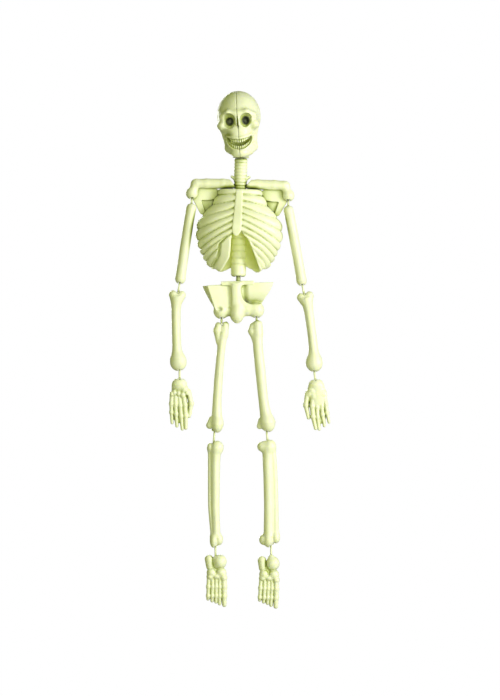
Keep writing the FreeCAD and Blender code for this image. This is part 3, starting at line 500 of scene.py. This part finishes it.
longBones = {"upperArm": ("upper_arm", upperArm, 142), "forearm": ("forearm", forearm, 142),
             "thigh": ("thigh", thigh, 196), "shin": ("shin", shin, 186)}
for side, m in sides:
    for key, (name, shape, length) in longBones.items():
        depth = linkShape["depth"]
        g = makeGrid((-19, -16, depth - length), (19, 16, depth), 0.85)
        field = carve(shape(g, m), slotAbove(g), 0.6)
        field = carve(field, slotBelow(g, z=2 * depth - length), 0.6)
        names = ["%s_%s_%s" % (name, side, part) for part in (("inner", "outer") if m > 0 else ("outer", "inner"))]
        addPair(g, field, names, placeOf(key + side.capitalize()), "%s_%s" % (name, side), boneMaterial)
print("long bones made")


def finger(g, points, swell=0.6):
    # a finger or toe whose joints swell between its bones
    whole = chain(g, points, 2.0)
    for x, y, z, r in points[1:-1]:
        whole = join(whole, egg(g, (x, y, z), (r + swell, r + swell, r + 2 * swell)), 1.2)
    return whole


handShape = {
    "wrist": [((0.6, 0, -6.5), (13, 8.5, 11.5)), ((-7.2, -0.5, -15), (7.5, 7, 7.5))],
    "web": [(2, 1.2, -15, 12.5), (3.5, 1.2, -36, 13.2)],
    "fullWeb": [(1, 0, -10, 12), (2.4, 0, -22, 13.5), (3.2, 0.4, -36, 14.5)],  # fills the left palm only
    "fingerWeb": [(1.5, 1.2, -34, 12.5), (0, 1.0, -62, 11.5)],
    "carpals": [(9.6, -20, 4.6), (2.6, -21.5, 4.6), (-4.6, -24.5, 5.2), (-11.8, -21, 4.2), (14.2, -22, 4.0)],
    "fingers": [(-5.8, -26, -7.6, -42, -8.2, -60, -7.6, -82, 5.0), (1.6, -26, 0.4, -43, -0.4, -61, -1.6, -83.5, 4.5),
                (8.2, -25, 8.4, -41, 8.2, -57, 7.6, -78, 4.4), (14.2, -24, 15.6, -39, 16.0, -54, 15.8, -72.5, 4.0)],
    "thumb": [(-14.5, 0, -19, 4.4), (-18.2, -0.5, -40, 4.4), (-14.4, 0, -62, 3.0)],
    # where the finger web ends, how far the carpals stand out, and how the fingers fan out and shorten
    "left": {"webEnd": 4, "carpalY": -1.6, "carpalBlend": 3, "fan": (0.5, 1.8, 5), "shorter": 1.5},
    "right": {"webEnd": -2, "carpalY": -3.2, "carpalBlend": 0.7, "fan": (0, 0, 0), "shorter": 0},
}


def hand(g, m):
    # carpals, palm bones close together, and fingers that only part below the knuckles
    own = handShape[sideOf(m)]
    wrist = join(*(egg(g, mirrorPoint(centre, m), radii) for centre, radii in handShape["wrist"]), 1.2)
    web = chain(g, [mirrorPoint(point, m) for point in handShape["web"]], 4, 0.42)
    start, end = handShape["fingerWeb"]
    fingerWeb = chain(g, [mirrorPoint(start, m), (own["webEnd"],) + end[1:]], 4, 0.22)
    if m > 0:
        web = join(web, chain(g, handShape["fullWeb"], 4, 0.44), 2)
    whole = join(join(wrist, web, 3.0), fingerWeb, 1.0)
    for x, z, r in handShape["carpals"]:
        whole = join(whole, egg(g, (x * m, own["carpalY"], z), (r, r, r + 0.8)), own["carpalBlend"])
    fan = own["fan"]
    for x0, z0, x1, z1, x2, z2, x3, z3, r in handShape["fingers"]:
        points = [(x0 * m, -0.5, z0, r), (x1 * m + fan[0], -1.2, z1, r * 0.94), (x2 * m + fan[1], -0.8, z2, r * 0.86),
                  (x3 * m + fan[2], 0.4, z3 + own["shorter"], r * 0.64)]
        whole = join(whole, finger(g, points), 0.6)
    thumb = [mirrorPoint(point, m) for point in handShape["thumb"]]
    return join(whole, finger(g, thumb), 1.2)


footShape = {
    "left": {"shift": -4.6, "drop": -5.2}, "right": {"shift": 0, "drop": 0},
    "ankle": ((7.2, 0, -3), (11.8, 11, 12.4)), "heel": ((-11.6, 2, 1.5), (-9.6, 2, -11), 7.4, 7.0),
    "instep": [(-7.2, -1, -22, 8.4, 8.6), (9.6, -1, -22, 9.2, 9), (1.5, 0, -28, 9, 6.5), (14, -0.5, -31, 6.2, 6),
               (-9.5, 0, -29, 6.5, 5.5)],
    "web": [(0, 2, -16, 13), (1, 2, -42, 14.5)],
    "toeWeb": [(0.5, 1.4, -40, 13), (0.5, 1.2, -58, 13.5)],
    "toes": [(-11.6, -12.4, -13.2, -70.5, 3.7), (-5.4, -5.4, -6.2, -73.5, 3.9), (1.0, 1.0, 0.6, -75.5, 3.9),
             (7.2, 7.2, 6.8, -78.5, 4.0), (14.2, 14.6, 15.0, -80.5, 5.0)],
}


def foot(g, m):
    # an ankle bone beside the heel with a deep gap between, two rows of instep bones, and five long toes
    shift, drop = footShape[sideOf(m)]["shift"], footShape[sideOf(m)]["drop"]

    def moved(point):
        return (point[0] + shift, point[1], point[2] + drop) + tuple(point[3:])

    centre, radii = footShape["ankle"]
    top, bottom, r0, r1 = footShape["heel"]
    stem = rod(g, (0, 0, 1.5), (2 + shift * 0.5, 0, -10 + drop), 6.2)
    whole = join(join(egg(g, moved(centre), radii), stem, 2), rod(g, moved(top), moved(bottom), r0, r1), 0.6)
    for x, y, z, rx, rz in footShape["instep"]:
        whole = join(whole, egg(g, moved((x, y, z)), (rx, 8, rz)), 1.8)
    web = chain(g, [moved(point) for point in footShape["web"]], 3, 0.38)
    web = join(web, chain(g, [moved(point) for point in footShape["toeWeb"]], 3, 0.2), 1)
    whole = join(whole, web, 1.5)
    for top, middle, tip, bottom, r in footShape["toes"]:
        joint = 0.5 * (middle + tip) + shift
        points = [moved((top, -1, -29, r)), moved((middle, -1.6, -46, r * 0.95)),
                  (joint, -1.2, -62 + drop, r * 0.9), (tip + shift, 0.6, bottom + 3 + drop * 0.9, r * 0.8)]
        whole = join(whole, finger(g, points), 0.5)
    return whole


extremities = {"hand": (hand, (-26, -13, -88), (28, 13, 7)), "foot": (foot, (-28, -14, -92), (26, 14, 10))}
for side, m in sides:
    for key, (shape, low, high) in extremities.items():
        g = makeGrid(low, high, 0.6)
        name = "%s_%s" % (key, side)
        field = carve(shape(g, m), slotAbove(g), 0.5)
        addMesh(name + "_moulding", g, field, placeOf(key + side.capitalize()), name, name, boneMaterial)
print("hands and feet made")


skullShape = {
    "eyeSpan": 15.2, "eyeHeight": -54.5,
    "archWide": 24, "archDeep": 27, "archBack": 10, "archRound": 25.5,  # the dental arch, and its mean radius
    "mouthHeight": -94.5, "mouthTall": 8.8, "smile": 18,
    "toothPitch": 4.5, "toothGap": 0.6,
    "neckSleeve": 14, "neckHole": 6.4, "flangeRoom": 9.2, "neckRim": -3.6,
    "stringHole": 2.0,
}


def mouthField(g):
    # a smile round the dental arch: a point's angle and its distance outside, the smile's middle and half height
    x, y = g["x"] / skullShape["archWide"], (g["y"] + skullShape["archBack"]) / skullShape["archDeep"]
    across = np.arctan2(x, -y)
    depth = (np.sqrt(x ** 2 + y ** 2) - 1) * skullShape["archRound"]
    middle = skullShape["mouthHeight"] + skullShape["smile"] * (1 - np.cos(across * 1.05))
    tall = skullShape["mouthTall"] * np.sqrt(np.clip(1 - (across / 1.2) ** 2, 0, 1))
    return across, depth, middle, tall


def teethField(g):
    # an upper and a lower row of rounded teeth, cut off behind the arch
    across, depth, middle, tall = mouthField(g)
    pitch = skullShape["toothPitch"]
    cell = across * skullShape["archRound"] / pitch
    offset = (cell - np.floor(cell) - 0.5) * pitch
    bulge = (offset / pitch * 2) ** 2
    side = np.abs(offset) - (pitch / 2 - skullShape["toothGap"] / 2)
    front = np.maximum(depth + 2.2 + 1.1 * bulge, -depth - 6.5)
    upper = np.maximum(-(g["z"] - middle - 2.6 - 1.6 * bulge), g["z"] - middle - tall - 2)
    lower = np.maximum(g["z"] - middle + 2.4 + 1.6 * bulge, -(g["z"] - middle + tall + 2))
    rows = np.minimum(upper, lower)
    return np.maximum(np.maximum(rows, front), side)


def skull(g):
    # cranium, brow, cheek bones and jaw; then cheek hollows, mouth, eyes, nose, and the sleeve over the neck pin
    whole = join(egg(g, (0.8, 3, -43.5), (37.6, 42, 43.3)), egg(g, (0, -12, -50), (33.5, 29, 30)), 8)
    whole = join(whole, brick(g, (1, -13, -86), (22.5, 23, 27), 20), 6)
    for m in (1, -1):
        whole = join(whole, egg(g, (m * 27.5, -21, -60), (9.4, 13, 8.6)), 4)
        corner = 22.5 if m > 0 else 18.5
        whole = join(whole, rod(g, (m * 27, -4, -66), (m * corner, -9, -98), 5.2, 6.4), 6)
        whole = join(whole, rod(g, (m * corner, -10, -99), (m * 8, -29, -108.5), 7.4, 7), 6)
        brow = chain(g, [(m * 4, -40, -41, 3.0), (m * 16, -40, -39.5, 3.4), (m * 28, -30, -45, 3.4)], 5)
        whole = join(whole, brow, 8)
    whole = join(whole, egg(g, (0, -31, -108.5), (13, 9.5, 8)), 4)
    whole = join(whole, egg(g, (4, -16, -107), (17, 17, 8.5)), 6)
    whole = join(whole, rod(g, (0, -38, -42), (0, -42, -60), 3.0, 3.4), 4)
    for m in (1, -1):
        whole = carve(whole, egg(g, (m * 27, -38, -81), (12, 17, 12) if m > 0 else (14, 21, 14)), 5)
        whole = carve(whole, egg(g, (m * 41, -18, -44), (6, 14, 12)), 6)
    depth, middle, tall = mouthField(g)[1:]
    mouth = np.maximum(np.abs(g["z"] - middle) - tall, np.abs(depth + 6) - 13.5)
    mouth = np.maximum(mouth, g["y"] + 6)
    gums = np.maximum(np.maximum(np.abs(g["z"] - middle) - tall - 3.4, np.abs(depth + 2.6) - 3.4), g["y"] + 8)
    whole = join(whole, gums, 3)
    whole = carve(whole, mouth, 1.2)
    whole = join(whole, np.maximum(teethField(g), g["y"] + 10), 0.6)
    hollow = join(egg(g, (0, 3, -43.5), (33.6, 38.8, 40)), brick(g, (0, -11, -88), (15, 12, 20), 6), 5)
    eye, height = skullShape["eyeSpan"], skullShape["eyeHeight"]
    for m in (1, -1):
        middle, low = (m * eye, height + 1), (6, 6.5) if m > 0 else (8.2, 8.5)
        hollow = carve(hollow, egg(g, (middle[0], -30, middle[1] - 1), (14, 21, 15)), 2)
        rim = egg(g, (middle[0], -41, middle[1]), (11.6, 12.5, 11.8 if m > 0 else 13.4))
        socket = join(rim, egg(g, (middle[0] - 2.4, -40, middle[1] - low[1]), (low[0], 11, 7)), 5)
        whole = carve(whole, socket, 0.6)
        whole = carve(whole, egg(g, (middle[0] - 1.6 * m, -34, middle[1] - 0.4), (6.6, 20, 7.4)), 1.6)
    whole = carve(whole, egg(g, (0, -44, -60.5), (1.5, 9, 15)), 0.5)
    for m in (1, -1):
        whole = carve(whole, rod(g, (m * 4.2, -44.5, -62), (m * 6.6, -43, -73), 1.6, 1.2), 1.0)
    sleeve, rim = skullShape["neckSleeve"], skullShape["neckRim"]
    stem = skullPlace.inverted() @ placeOf("torso")
    away, reach = axial(g, stem @ Vector((0, 0, 0)), (stem.to_3x3() @ Vector((0, 0, 1))).normalized())
    whole = join(whole, np.maximum(away - sleeve, np.maximum(rim - reach, reach - 16)), 1.5)
    whole = carve(whole, carve(hollow, np.maximum(away - sleeve + 0.5, reach - 16), 1.0), 1)
    whole = np.maximum(whole, np.where(away < sleeve + 4, rim - reach, -9.0))
    whole = carve(whole, np.maximum(away - skullShape["neckHole"], np.maximum(reach - 12, -20 - reach)), 0.5)
    whole = carve(whole, np.maximum(away - skullShape["flangeRoom"], np.maximum(reach - 10.6, 6.6 - reach)), 0.3)
    return carve(whole, rod(g, (0, 0, 4), (0, 0, -12), skullShape["stringHole"]), 0.3)


g = makeGrid((-42, -52, -121), (42, 50, 2), 0.8)
addHalves(g, skull(g), "x", ["skull_right", "skull_left"], skullPlace, "skull", boneMaterial)
print("skull made")


spineShape = {
    "neckPitch": 5.9, "neckGroove": 1.0, "lumbarTop": -143, "lumbarPitch": 11.2, "lumbarGroove": 1.3,
    "column": [(-212, 12.2), (-204, 13.2), (-190, 13), (-140, 12.6), (-128, 10.2), (-60, 10.2), (-52, 11.5),
               (-6, 11.5)],
    "pin": 5.9, "flange": 8.9, "waistBar": -203.2,
}


def spine(g):
    # a ringed neck and a lumbar column round one axis, with the pin and flange that the skull turns on
    z = g["z"]
    neckRing = (0.5 + 0.5 * np.cos(2 * math.pi * (z + 5.6) / spineShape["neckPitch"])) ** 3
    lumbarRing = (0.5 + 0.5 * np.cos(2 * math.pi * (z - spineShape["lumbarTop"]) / spineShape["lumbarPitch"])) ** 6
    lumbarRing = np.where(z < -192, 0, lumbarRing)
    radius = smoothRun(z, spineShape["column"]) - np.where(z > -58, spineShape["neckGroove"] * neckRing, 0)
    radius = radius - np.where(z < -140, spineShape["lumbarGroove"] * lumbarRing, 0)
    away = np.sqrt(g["x"] ** 2 + g["y"] ** 2)
    column = carve(carve(away - radius, -(z + 4.6), 1.2), z + 209.2, 5)
    stem = np.maximum(away - spineShape["pin"], np.maximum(z - 9.8, -z - 12))
    flange = np.maximum(away - spineShape["flange"], np.maximum(z - 9.9, 7.1 - z))
    whole = join(join(column, stem, 0.8), flange, 0.5)
    for m in (1, -1):
        whole = join(whole, rod(g, (m * 10, -2, -40), (m * 15.2, -2, -36.5), 3.0, 2.2), 1.5)
    return carve(whole, slotBelow(g, waistShape["radius"], waistShape["bar"], z=spineShape["waistBar"]), 0.6)


g = makeGrid((-18, -14, -211), (18, 14, 11), 0.7)
addHalves(g, spine(g), "y", ["spine_front", "spine_back"], placeOf("torso"), "torso", boneMaterial)
print("spine made")


ribShape = {
    "width": [(-46, 30), (-58, 35), (-70, 39), (-82, 45), (-94, 53), (-104, 64), (-116, 71), (-130, 73.5), (-148, 72),
              (-163, 67), (-178, 60), (-192, 51), (-206, 41)],
    "bottom": [(-66, -182), (-58, -190), (-46, -197), (-39, -197.5), (-34, -202), (-26, -201), (-18, -196), (10, -190),
               (22, -196), (32, -202.5), (38, -200), (42, -194.5), (50, -197), (60, -190), (68, -178)],
    "deep": 0.56, "top": -58.3, "roof": 3.2, "archTop": -131,
    "firstGroove": -57, "pitch": 10.7, "fall": 42, "ridge": 4.4, "wall": 3.0, "strip": 18,
    "archLeft": [(-131, -7), (-142, -13.5), (-163, -14.2), (-178, -16), (-199, -28.5), (-206, -33)],
    "archRight": [(-131, 1), (-145.6, 15.3), (-166, 24.5), (-188.8, 33.5), (-206, 40)],
    "breastbone": [(-56, 11), (-100, 13.5), (-125, 15.5), (-133, 14), (-141, 6)],
    "slit": [(-34, -40, -143, 0.8), (-46, -31, -166, 2.0), (-57, -13, -186, 1.6)],
    "column": 12.2,
}


def ribFields(g):
    # distance outside the barrel, and which rib a point lies on: whole numbers fall in the grooves
    wide = smoothRun(g["z"], ribShape["width"], 14)
    deep = wide * ribShape["deep"]
    share = np.sqrt((g["x"] / wide) ** 2 + (g["y"] / deep) ** 2) + 1e-6
    outside = (share - 1) * np.sqrt(g["x"] ** 2 + g["y"] ** 2) / share
    angle = np.arctan2(np.abs(g["x"]) / wide, -g["y"] / deep)
    sine = np.sin(angle)
    droop = np.where(angle < math.pi / 2, np.clip(sine, 0, 1) ** 1.25, 1 - 1.5 * (1 - sine))
    rib = (ribShape["firstGroove"] - g["z"]) / ribShape["pitch"] - 2 * droop
    for step in range(8):
        share = np.clip((rib - 0.5) / 5.5, 0, 1)
        fall = ribShape["fall"] * share ** 2 * (3 - 2 * share)
        slope = ribShape["fall"] * 6 * share * (1 - share) / 5.5
        miss = ribShape["firstGroove"] - ribShape["pitch"] * rib - fall * droop - g["z"]
        rib = rib + miss / (ribShape["pitch"] + np.maximum(slope * droop, -6))
    return outside, rib


def ribCage(g):
    # a ridged barrel with a wavy lower edge, open at the front under the breastbone, and a hole for the spine
    outside, rib = ribFields(g)
    x, y, z = g["x"], g["y"], g["z"]
    ridge = np.abs(np.sin(math.pi * rib)) ** 0.5
    left = smoothRun(z, ribShape["archLeft"])
    right = smoothRun(z, ribShape["archRight"])
    arch = np.maximum(np.maximum(x - right, left - x), z - ribShape["archTop"])
    # the last rib on one side is a broad smooth strip beside the lumbar spine, with a groove along its outer edge
    strip = ribShape["strip"] * np.clip((-134 - z) / 20, 0, 1)
    edge = np.where(x < 0, left - x, x - right)
    band = np.where(x < 0, np.clip((strip - edge) / 2, 0, 1), np.exp(-(np.clip(edge, 0, 20) / 5.0) ** 2))
    crease = np.where(x < 0, np.exp(-((edge - strip - 1.6) / 1.8) ** 2), 0)
    low = np.clip((-140 - z) / 6, 0, 1) * (y < 0)
    ridge = np.maximum(ridge, band * low) * (1 - 0.95 * crease * low)
    skin = outside - ribShape["ridge"] * ridge + 1.8
    lip = 4 * np.exp(-(np.clip(edge, 0, 20) / 6) ** 2) * low
    shell = carve(skin, -(-outside - ribShape["wall"] - lip), 1.0)
    bottom = smoothRun(x, ribShape["bottom"], 5)
    aboveTop = z - ribShape["top"]
    shell = carve(shell, -(np.maximum(aboveTop, (bottom - z) * 0.8)), 4.0)
    roof = np.maximum(skin, np.maximum(aboveTop, -aboveTop - ribShape["roof"]))
    whole = join(shell, roof, 1)
    whole = carve(whole, np.maximum(arch, y - 2), 3.5)
    whole = carve(whole, chain(g, ribShape["slit"], 1), 1.4)
    middle = -1 + (z + 58) * 0.05
    wide = smoothRun(z, ribShape["breastbone"], 6) + 0.8 * np.cos(2 * math.pi * rib)
    plate = np.maximum(np.abs(x - middle) - wide / 2, np.maximum(np.abs(outside - 0.4) - 3.0, y + 4))
    plate = carve(plate, -np.maximum(z + 58.5, -140.5 - z), 3.0)
    whole = join(whole, plate, 0.7)
    return carve(whole, np.maximum(np.sqrt(x ** 2 + y ** 2) - ribShape["column"], -z - 64), 0.6)


g = makeGrid((-82, -49, -203), (82, 49, -53), 1.0)
addHalves(g, ribCage(g), "y", ["rib_cage_front", "rib_cage_back"], placeOf("torso"), "torso", boneMaterial)
print("rib cage made")


def slab(g, points, front, back, corner=1.5):
    # a convex outline in X and Z, anticlockwise seen from the front, between two depths
    whole = np.maximum(front - g["y"], g["y"] - back)
    for (x0, z0), (x1, z1) in zip(points, points[1:] + points[:1]):
        run = math.hypot(x1 - x0, z1 - z0)
        away = ((g["x"] - x0) * (z1 - z0) - (g["z"] - z0) * (x1 - x0)) / run
        whole = carve(whole, -away, corner)
    return whole


def mirrored(points, m):
    return points if m > 0 else [(-x, z) for x, z in reversed(points)]


girdleShape = {
    "bar": [(15, -3, -49.8, 8.2), (30, -1, -49.2, 8.7), (58, 0, -49.4, 8.6), (74, 0, -50, 8.2)],
    "knobAt": 83.5, "linkAt": -70.6, "underside": -57.8, "column": 12.3,
    "bladeTop": [(84, -57), (37, -59), (33, -66), (42, -76), (60, -79), (82, -75)],
    "bladeStrip": [(84, -68), (43, -70), (46, -92), (60, -104), (66.5, -104), (76, -82)],
}


def shoulderSlot(g, m):
    # the same socket is cut in the collar bone and in the blade
    return slotBelow(g, x=m * girdleShape["knobAt"], z=girdleShape["linkAt"])


def girdle(g, m):
    # the collar bone, and the knob at its end that the shoulder link hangs in
    bar = chain(g, [mirrorPoint(point, m) for point in girdleShape["bar"]], 2)
    bar = np.maximum(bar, girdleShape["underside"] - g["z"])
    outer = join(egg(g, (m * 76.5, 0, -50), (9.5, 8.2, 8.6)), rod(g, (m * 79, 0, -56), (m * 83, 0, -66), 7.5, 9), 3)
    whole = join(join(bar, outer, 2), egg(g, (m * girdleShape["knobAt"], 0, -67), (10.4, 9.8, 10.4)), 2)
    taper = (m * g["x"] - 17.6 - 0.74 * (g["z"] + 42)) * 0.8
    whole = carve(whole, np.maximum(taper, -g["z"] - 70), 1.5)
    column = np.sqrt(g["x"] ** 2 + g["y"] ** 2) - girdleShape["column"]
    whole = carve(whole, np.maximum(column, -g["z"] - 70), 0.6)
    return carve(whole, shoulderSlot(g, m), 0.5)


def blade(g, m):
    # a broad plate whose thick top and outer strip meet at the knob, trimmed clear of the ribs
    plate = join(slab(g, mirrored(girdleShape["bladeTop"], m), -2.5, 7, 3),
                 slab(g, mirrored(girdleShape["bladeStrip"], m), 3.5, 7, 2), 2)
    topRidge = rod(g, (m * 82, 0, -66), (m * 60, 0.5, -66), 8.2, 6.2)
    outerRidge = rod(g, (m * 77, 0, -72), (m * 65, 0.5, -98), 6.6, 4.6)
    whole = join(plate, join(topRidge, outerRidge, 4), 4)
    whole = carve(whole, ribFields(g)[0] - 0.6, 0.6)
    return np.maximum(whole, g["z"] - girdleShape["underside"])


for side, m in sides:
    low, high = (6, 96) if m > 0 else (-96, -6)
    g = makeGrid((low, -11, -105), (high, 11, -38), 0.75)
    whole = girdle(g, m)
    front = carve(whole, -(g["y"] + seam["gap"]), seam["round"])
    behind = g["y"] - seam["gap"]
    back = join(carve(whole, behind, seam["round"]), carve(blade(g, m), shoulderSlot(g, m), 0.5), 2)
    for name, field in (("collar_bone_" + side, front), ("shoulder_blade_" + side, carve(back, behind))):
        addMesh(name + "_shell", g, field, placeOf("torso"), "torso", name, boneMaterial)
print("shoulder girdle made")


pelvisShape = {
    "leftWing": [(6, 3), (6, -30), (16, -44), (34, -42), (45, -26), (56, -10), (61.5, 3)],
    "rightWing": [(-66, -0.5), (-63.5, -5), (-56, -18), (-47, -32), (-42, -42), (-22, -44), (-10, -30), (-10, 2)],
    "plate": 28.5, "front": -12.5, "back": 8, "hipAcross": 30.3, "hipHeight": -51,
    "tailBone": [(4, 10.6), (-8, 10.6), (-28, 10.4), (-42, 12), (-50, 12.8), (-57, 11.4), (-62, 8.6), (-68, 2)],
}


def pelvis(g):
    # two unlike wings under a flat plate, a knob over each hip, and the tail bone with fine folds at its foot
    x, y, z = g["x"], g["y"], g["z"]
    front, back = pelvisShape["front"], pelvisShape["back"]
    wings = join(slab(g, pelvisShape["leftWing"], front, back), slab(g, pelvisShape["rightWing"], front, back), 2)
    # one wing folds back from a crest, and its inner facet slopes down to the tail bone
    crest = x + 53 + 0.30 * z
    facet = front + np.maximum(0.12 * crest, -2.1 * crest)
    wings = carve(wings, np.maximum((y - facet) * 0.85, x + 10), 2.5)
    # the other swells between the tail bone and its outer edge, and ends in a round rim over the hip
    floor = -10.5 + 7 * np.clip((19 - x) / 13, 0, 1) ** 1.5 + 5 * np.clip((x - 34) / 28, 0, 1) ** 2
    floor = floor + 8 * np.clip((-z - 10) / 22, 0, 1) ** 2
    bowl = np.maximum((np.sqrt(((x - 29) / 31) ** 2 + ((z + 1) / 34.5) ** 2) - 1) * 26, (y - floor) * 0.85)
    wings = carve(wings, np.maximum(bowl, -x), 2.0)
    whole = join(wings, brick(g, (-1, 0, 2.8), (pelvisShape["plate"], 11.5, 3.6), 1.6), 0.8)
    for m in (1, -1):
        whole = join(whole, egg(g, (m * 30.5, -1, -44.5), (13.4, 12.5, 13.8)), 3 if m > 0 else 2)
    whole = join(whole, chain(g, [(2, -5, -40, 9), (14, -3, -44, 10), (28, -2, -44, 11)], 2), 3)
    sacrum = np.sqrt((x + 3.4) ** 2 + ((y + 3.5) * 0.9) ** 2) - smoothRun(z, pelvisShape["tailBone"], 6)
    sacrum = carve(np.maximum(sacrum, z - 2.4), z + 66.5, 3)
    whole = join(whole, sacrum, 6)
    whole = join(whole, chain(g, [(-12, 1, -44, 9), (-28, 0, -45, 10)], 2), 2.5)
    whole = carve(whole, egg(g, (-34, -15.5, -41), (6, 6, 4.4)), 2.5)
    folds = 0.55 * np.cos(2 * math.pi * z / 2.8) * np.clip((-57 - z) / 3, 0, 1)
    whole = whole + folds * (np.abs(x + 3) < 16)
    for m in (1, -1):
        whole = carve(whole, slotBelow(g, x=m * pelvisShape["hipAcross"], z=pelvisShape["hipHeight"]), 0.6)
    return carve(whole, slotAbove(g, waistShape["radius"]), 0.6)


g = makeGrid((-68, -20, -69), (66, 15, 8), 0.8)
addHalves(g, pelvis(g), "y", ["pelvis_front", "pelvis_back"], placeOf("pelvis"), "pelvis", boneMaterial)
print("pelvis made")


stage = {
    "floorDrop": 0.34, "behind": 1.9, "half": 4.0,
    "paper": (0.3, 0.3, 0.3, 1), "paperSeen": (0.6, 0.6, 0.6, 1), "paperGlow": (0.9, 0.9, 0.9, 1),
    "sky": (0.72, 0.85, 0.42, 1), "skyStrength": 0.12,
}


def makeWhite():
    # painted studio paper: the eye sees plain white that takes a faint shadow, and it throws little light back
    material = bpy.data.materials.new("paintedStudioPaper")
    material.use_nodes = True
    tree = material.node_tree
    tree.nodes.clear()
    light = node(tree, "ShaderNodeLightPath")
    seen = node(tree, "ShaderNodeMath", {"operation": "MAXIMUM"})
    tree.links.new(light.outputs["Is Camera Ray"], seen.inputs[0])
    tree.links.new(light.outputs["Is Transmission Ray"], seen.inputs[1])
    paper = node(tree, "ShaderNodeBsdfDiffuse")
    paper.inputs["Color"].default_value = stage["paper"]
    glow = node(tree, "ShaderNodeEmission")
    glow.inputs["Color"].default_value = stage["paperGlow"]
    lit = node(tree, "ShaderNodeBsdfDiffuse")
    lit.inputs["Color"].default_value = stage["paperSeen"]
    white = node(tree, "ShaderNodeAddShader")
    tree.links.new(glow.outputs["Emission"], white.inputs[0])
    tree.links.new(lit.outputs["BSDF"], white.inputs[1])
    mix = node(tree, "ShaderNodeMixShader")
    tree.links.new(seen.outputs["Value"], mix.inputs[0])
    tree.links.new(paper.outputs["BSDF"], mix.inputs[1])
    tree.links.new(white.outputs["Shader"], mix.inputs[2])
    out = node(tree, "ShaderNodeOutputMaterial")
    tree.links.new(mix.outputs["Shader"], out.inputs["Surface"])
    return material


def addSheet(name, corners, material):
    mesh = bpy.data.meshes.new(name)
    mesh.from_pydata(corners, [], [(0, 1, 2, 3)])
    sheet = bpy.data.objects.new(name, mesh)
    bpy.context.collection.objects.link(sheet)
    sheet.data.materials.append(material)


low, high = cadBox
floorZ = low[2] - stage["floorDrop"]
half, behind = stage["half"], stage["behind"]
corners = [(-half, -half, floorZ), (half, -half, floorZ), (half, behind, floorZ), (-half, behind, floorZ)]
addSheet("studio_floor", corners, makeWhite())

world = bpy.data.worlds.new("softStudio")
bpy.context.scene.world = world
world.use_nodes = True
tree = world.node_tree
tree.nodes.clear()
light = node(tree, "ShaderNodeLightPath")
around = node(tree, "ShaderNodeBackground", {"Strength": stage["skyStrength"]})
around.inputs["Color"].default_value = stage["sky"]
seen = node(tree, "ShaderNodeBackground", {"Strength": 1.0})
seen.inputs["Color"].default_value = (1, 1, 1, 1)
mix = node(tree, "ShaderNodeMixShader")
tree.links.new(light.outputs["Is Camera Ray"], mix.inputs[0])
tree.links.new(around.outputs["Background"], mix.inputs[1])
tree.links.new(seen.outputs["Background"], mix.inputs[2])
out = node(tree, "ShaderNodeOutputWorld")
tree.links.new(mix.outputs["Shader"], out.inputs["Surface"])

# every lamp: place, aim, size, watts and tint
lamps = {
    "key_softbox": ((2.5, -1.75, 0.15), (0, 0, -0.5), (0.8, 1.4), 79, "#ffffff"),
    "front_fill": ((0.7, -3.2, -0.1), (0, 0, -0.45), (1.2, 1.8), 60, "#f1f6c6"),
    "back_fill": ((-0.9, 3.2, 0.3), (0, 0, -0.45), (1.2, 1.8), 55, "#ffffff"),
}
for name, (place, aim, wide, watts, tint) in lamps.items():
    lamp = bpy.data.lights.new(name, "AREA")
    lamp.color = linear(tint)[:3]
    lamp.shape = "RECTANGLE"
    lamp.size, lamp.size_y = wide
    lamp.energy = watts
    holder = bpy.data.objects.new(name, lamp)
    bpy.context.collection.objects.link(holder)
    holder.location = place
    holder.rotation_euler = (Vector(aim) - Vector(place)).to_track_quat("-Z", "Y").to_euler()
print("studio made")

view = {"aim": (0.0233, 0.0, -0.448), "away": 6.0, "tall": 1.2103}
camera = bpy.data.cameras.new("camera")
camera.sensor_fit = "VERTICAL"
camera.sensor_height = 24
camera.lens = camera.sensor_height * view["away"] / view["tall"]
camera.clip_end = 100
eye = bpy.data.objects.new("camera", camera)
bpy.context.collection.objects.link(eye)
eye.location = (view["aim"][0], -view["away"], view["aim"][2])
eye.rotation_euler = (math.pi / 2, 0, 0)
bpy.context.scene.camera = eye
bpy.context.scene.view_settings.view_transform = "Standard"
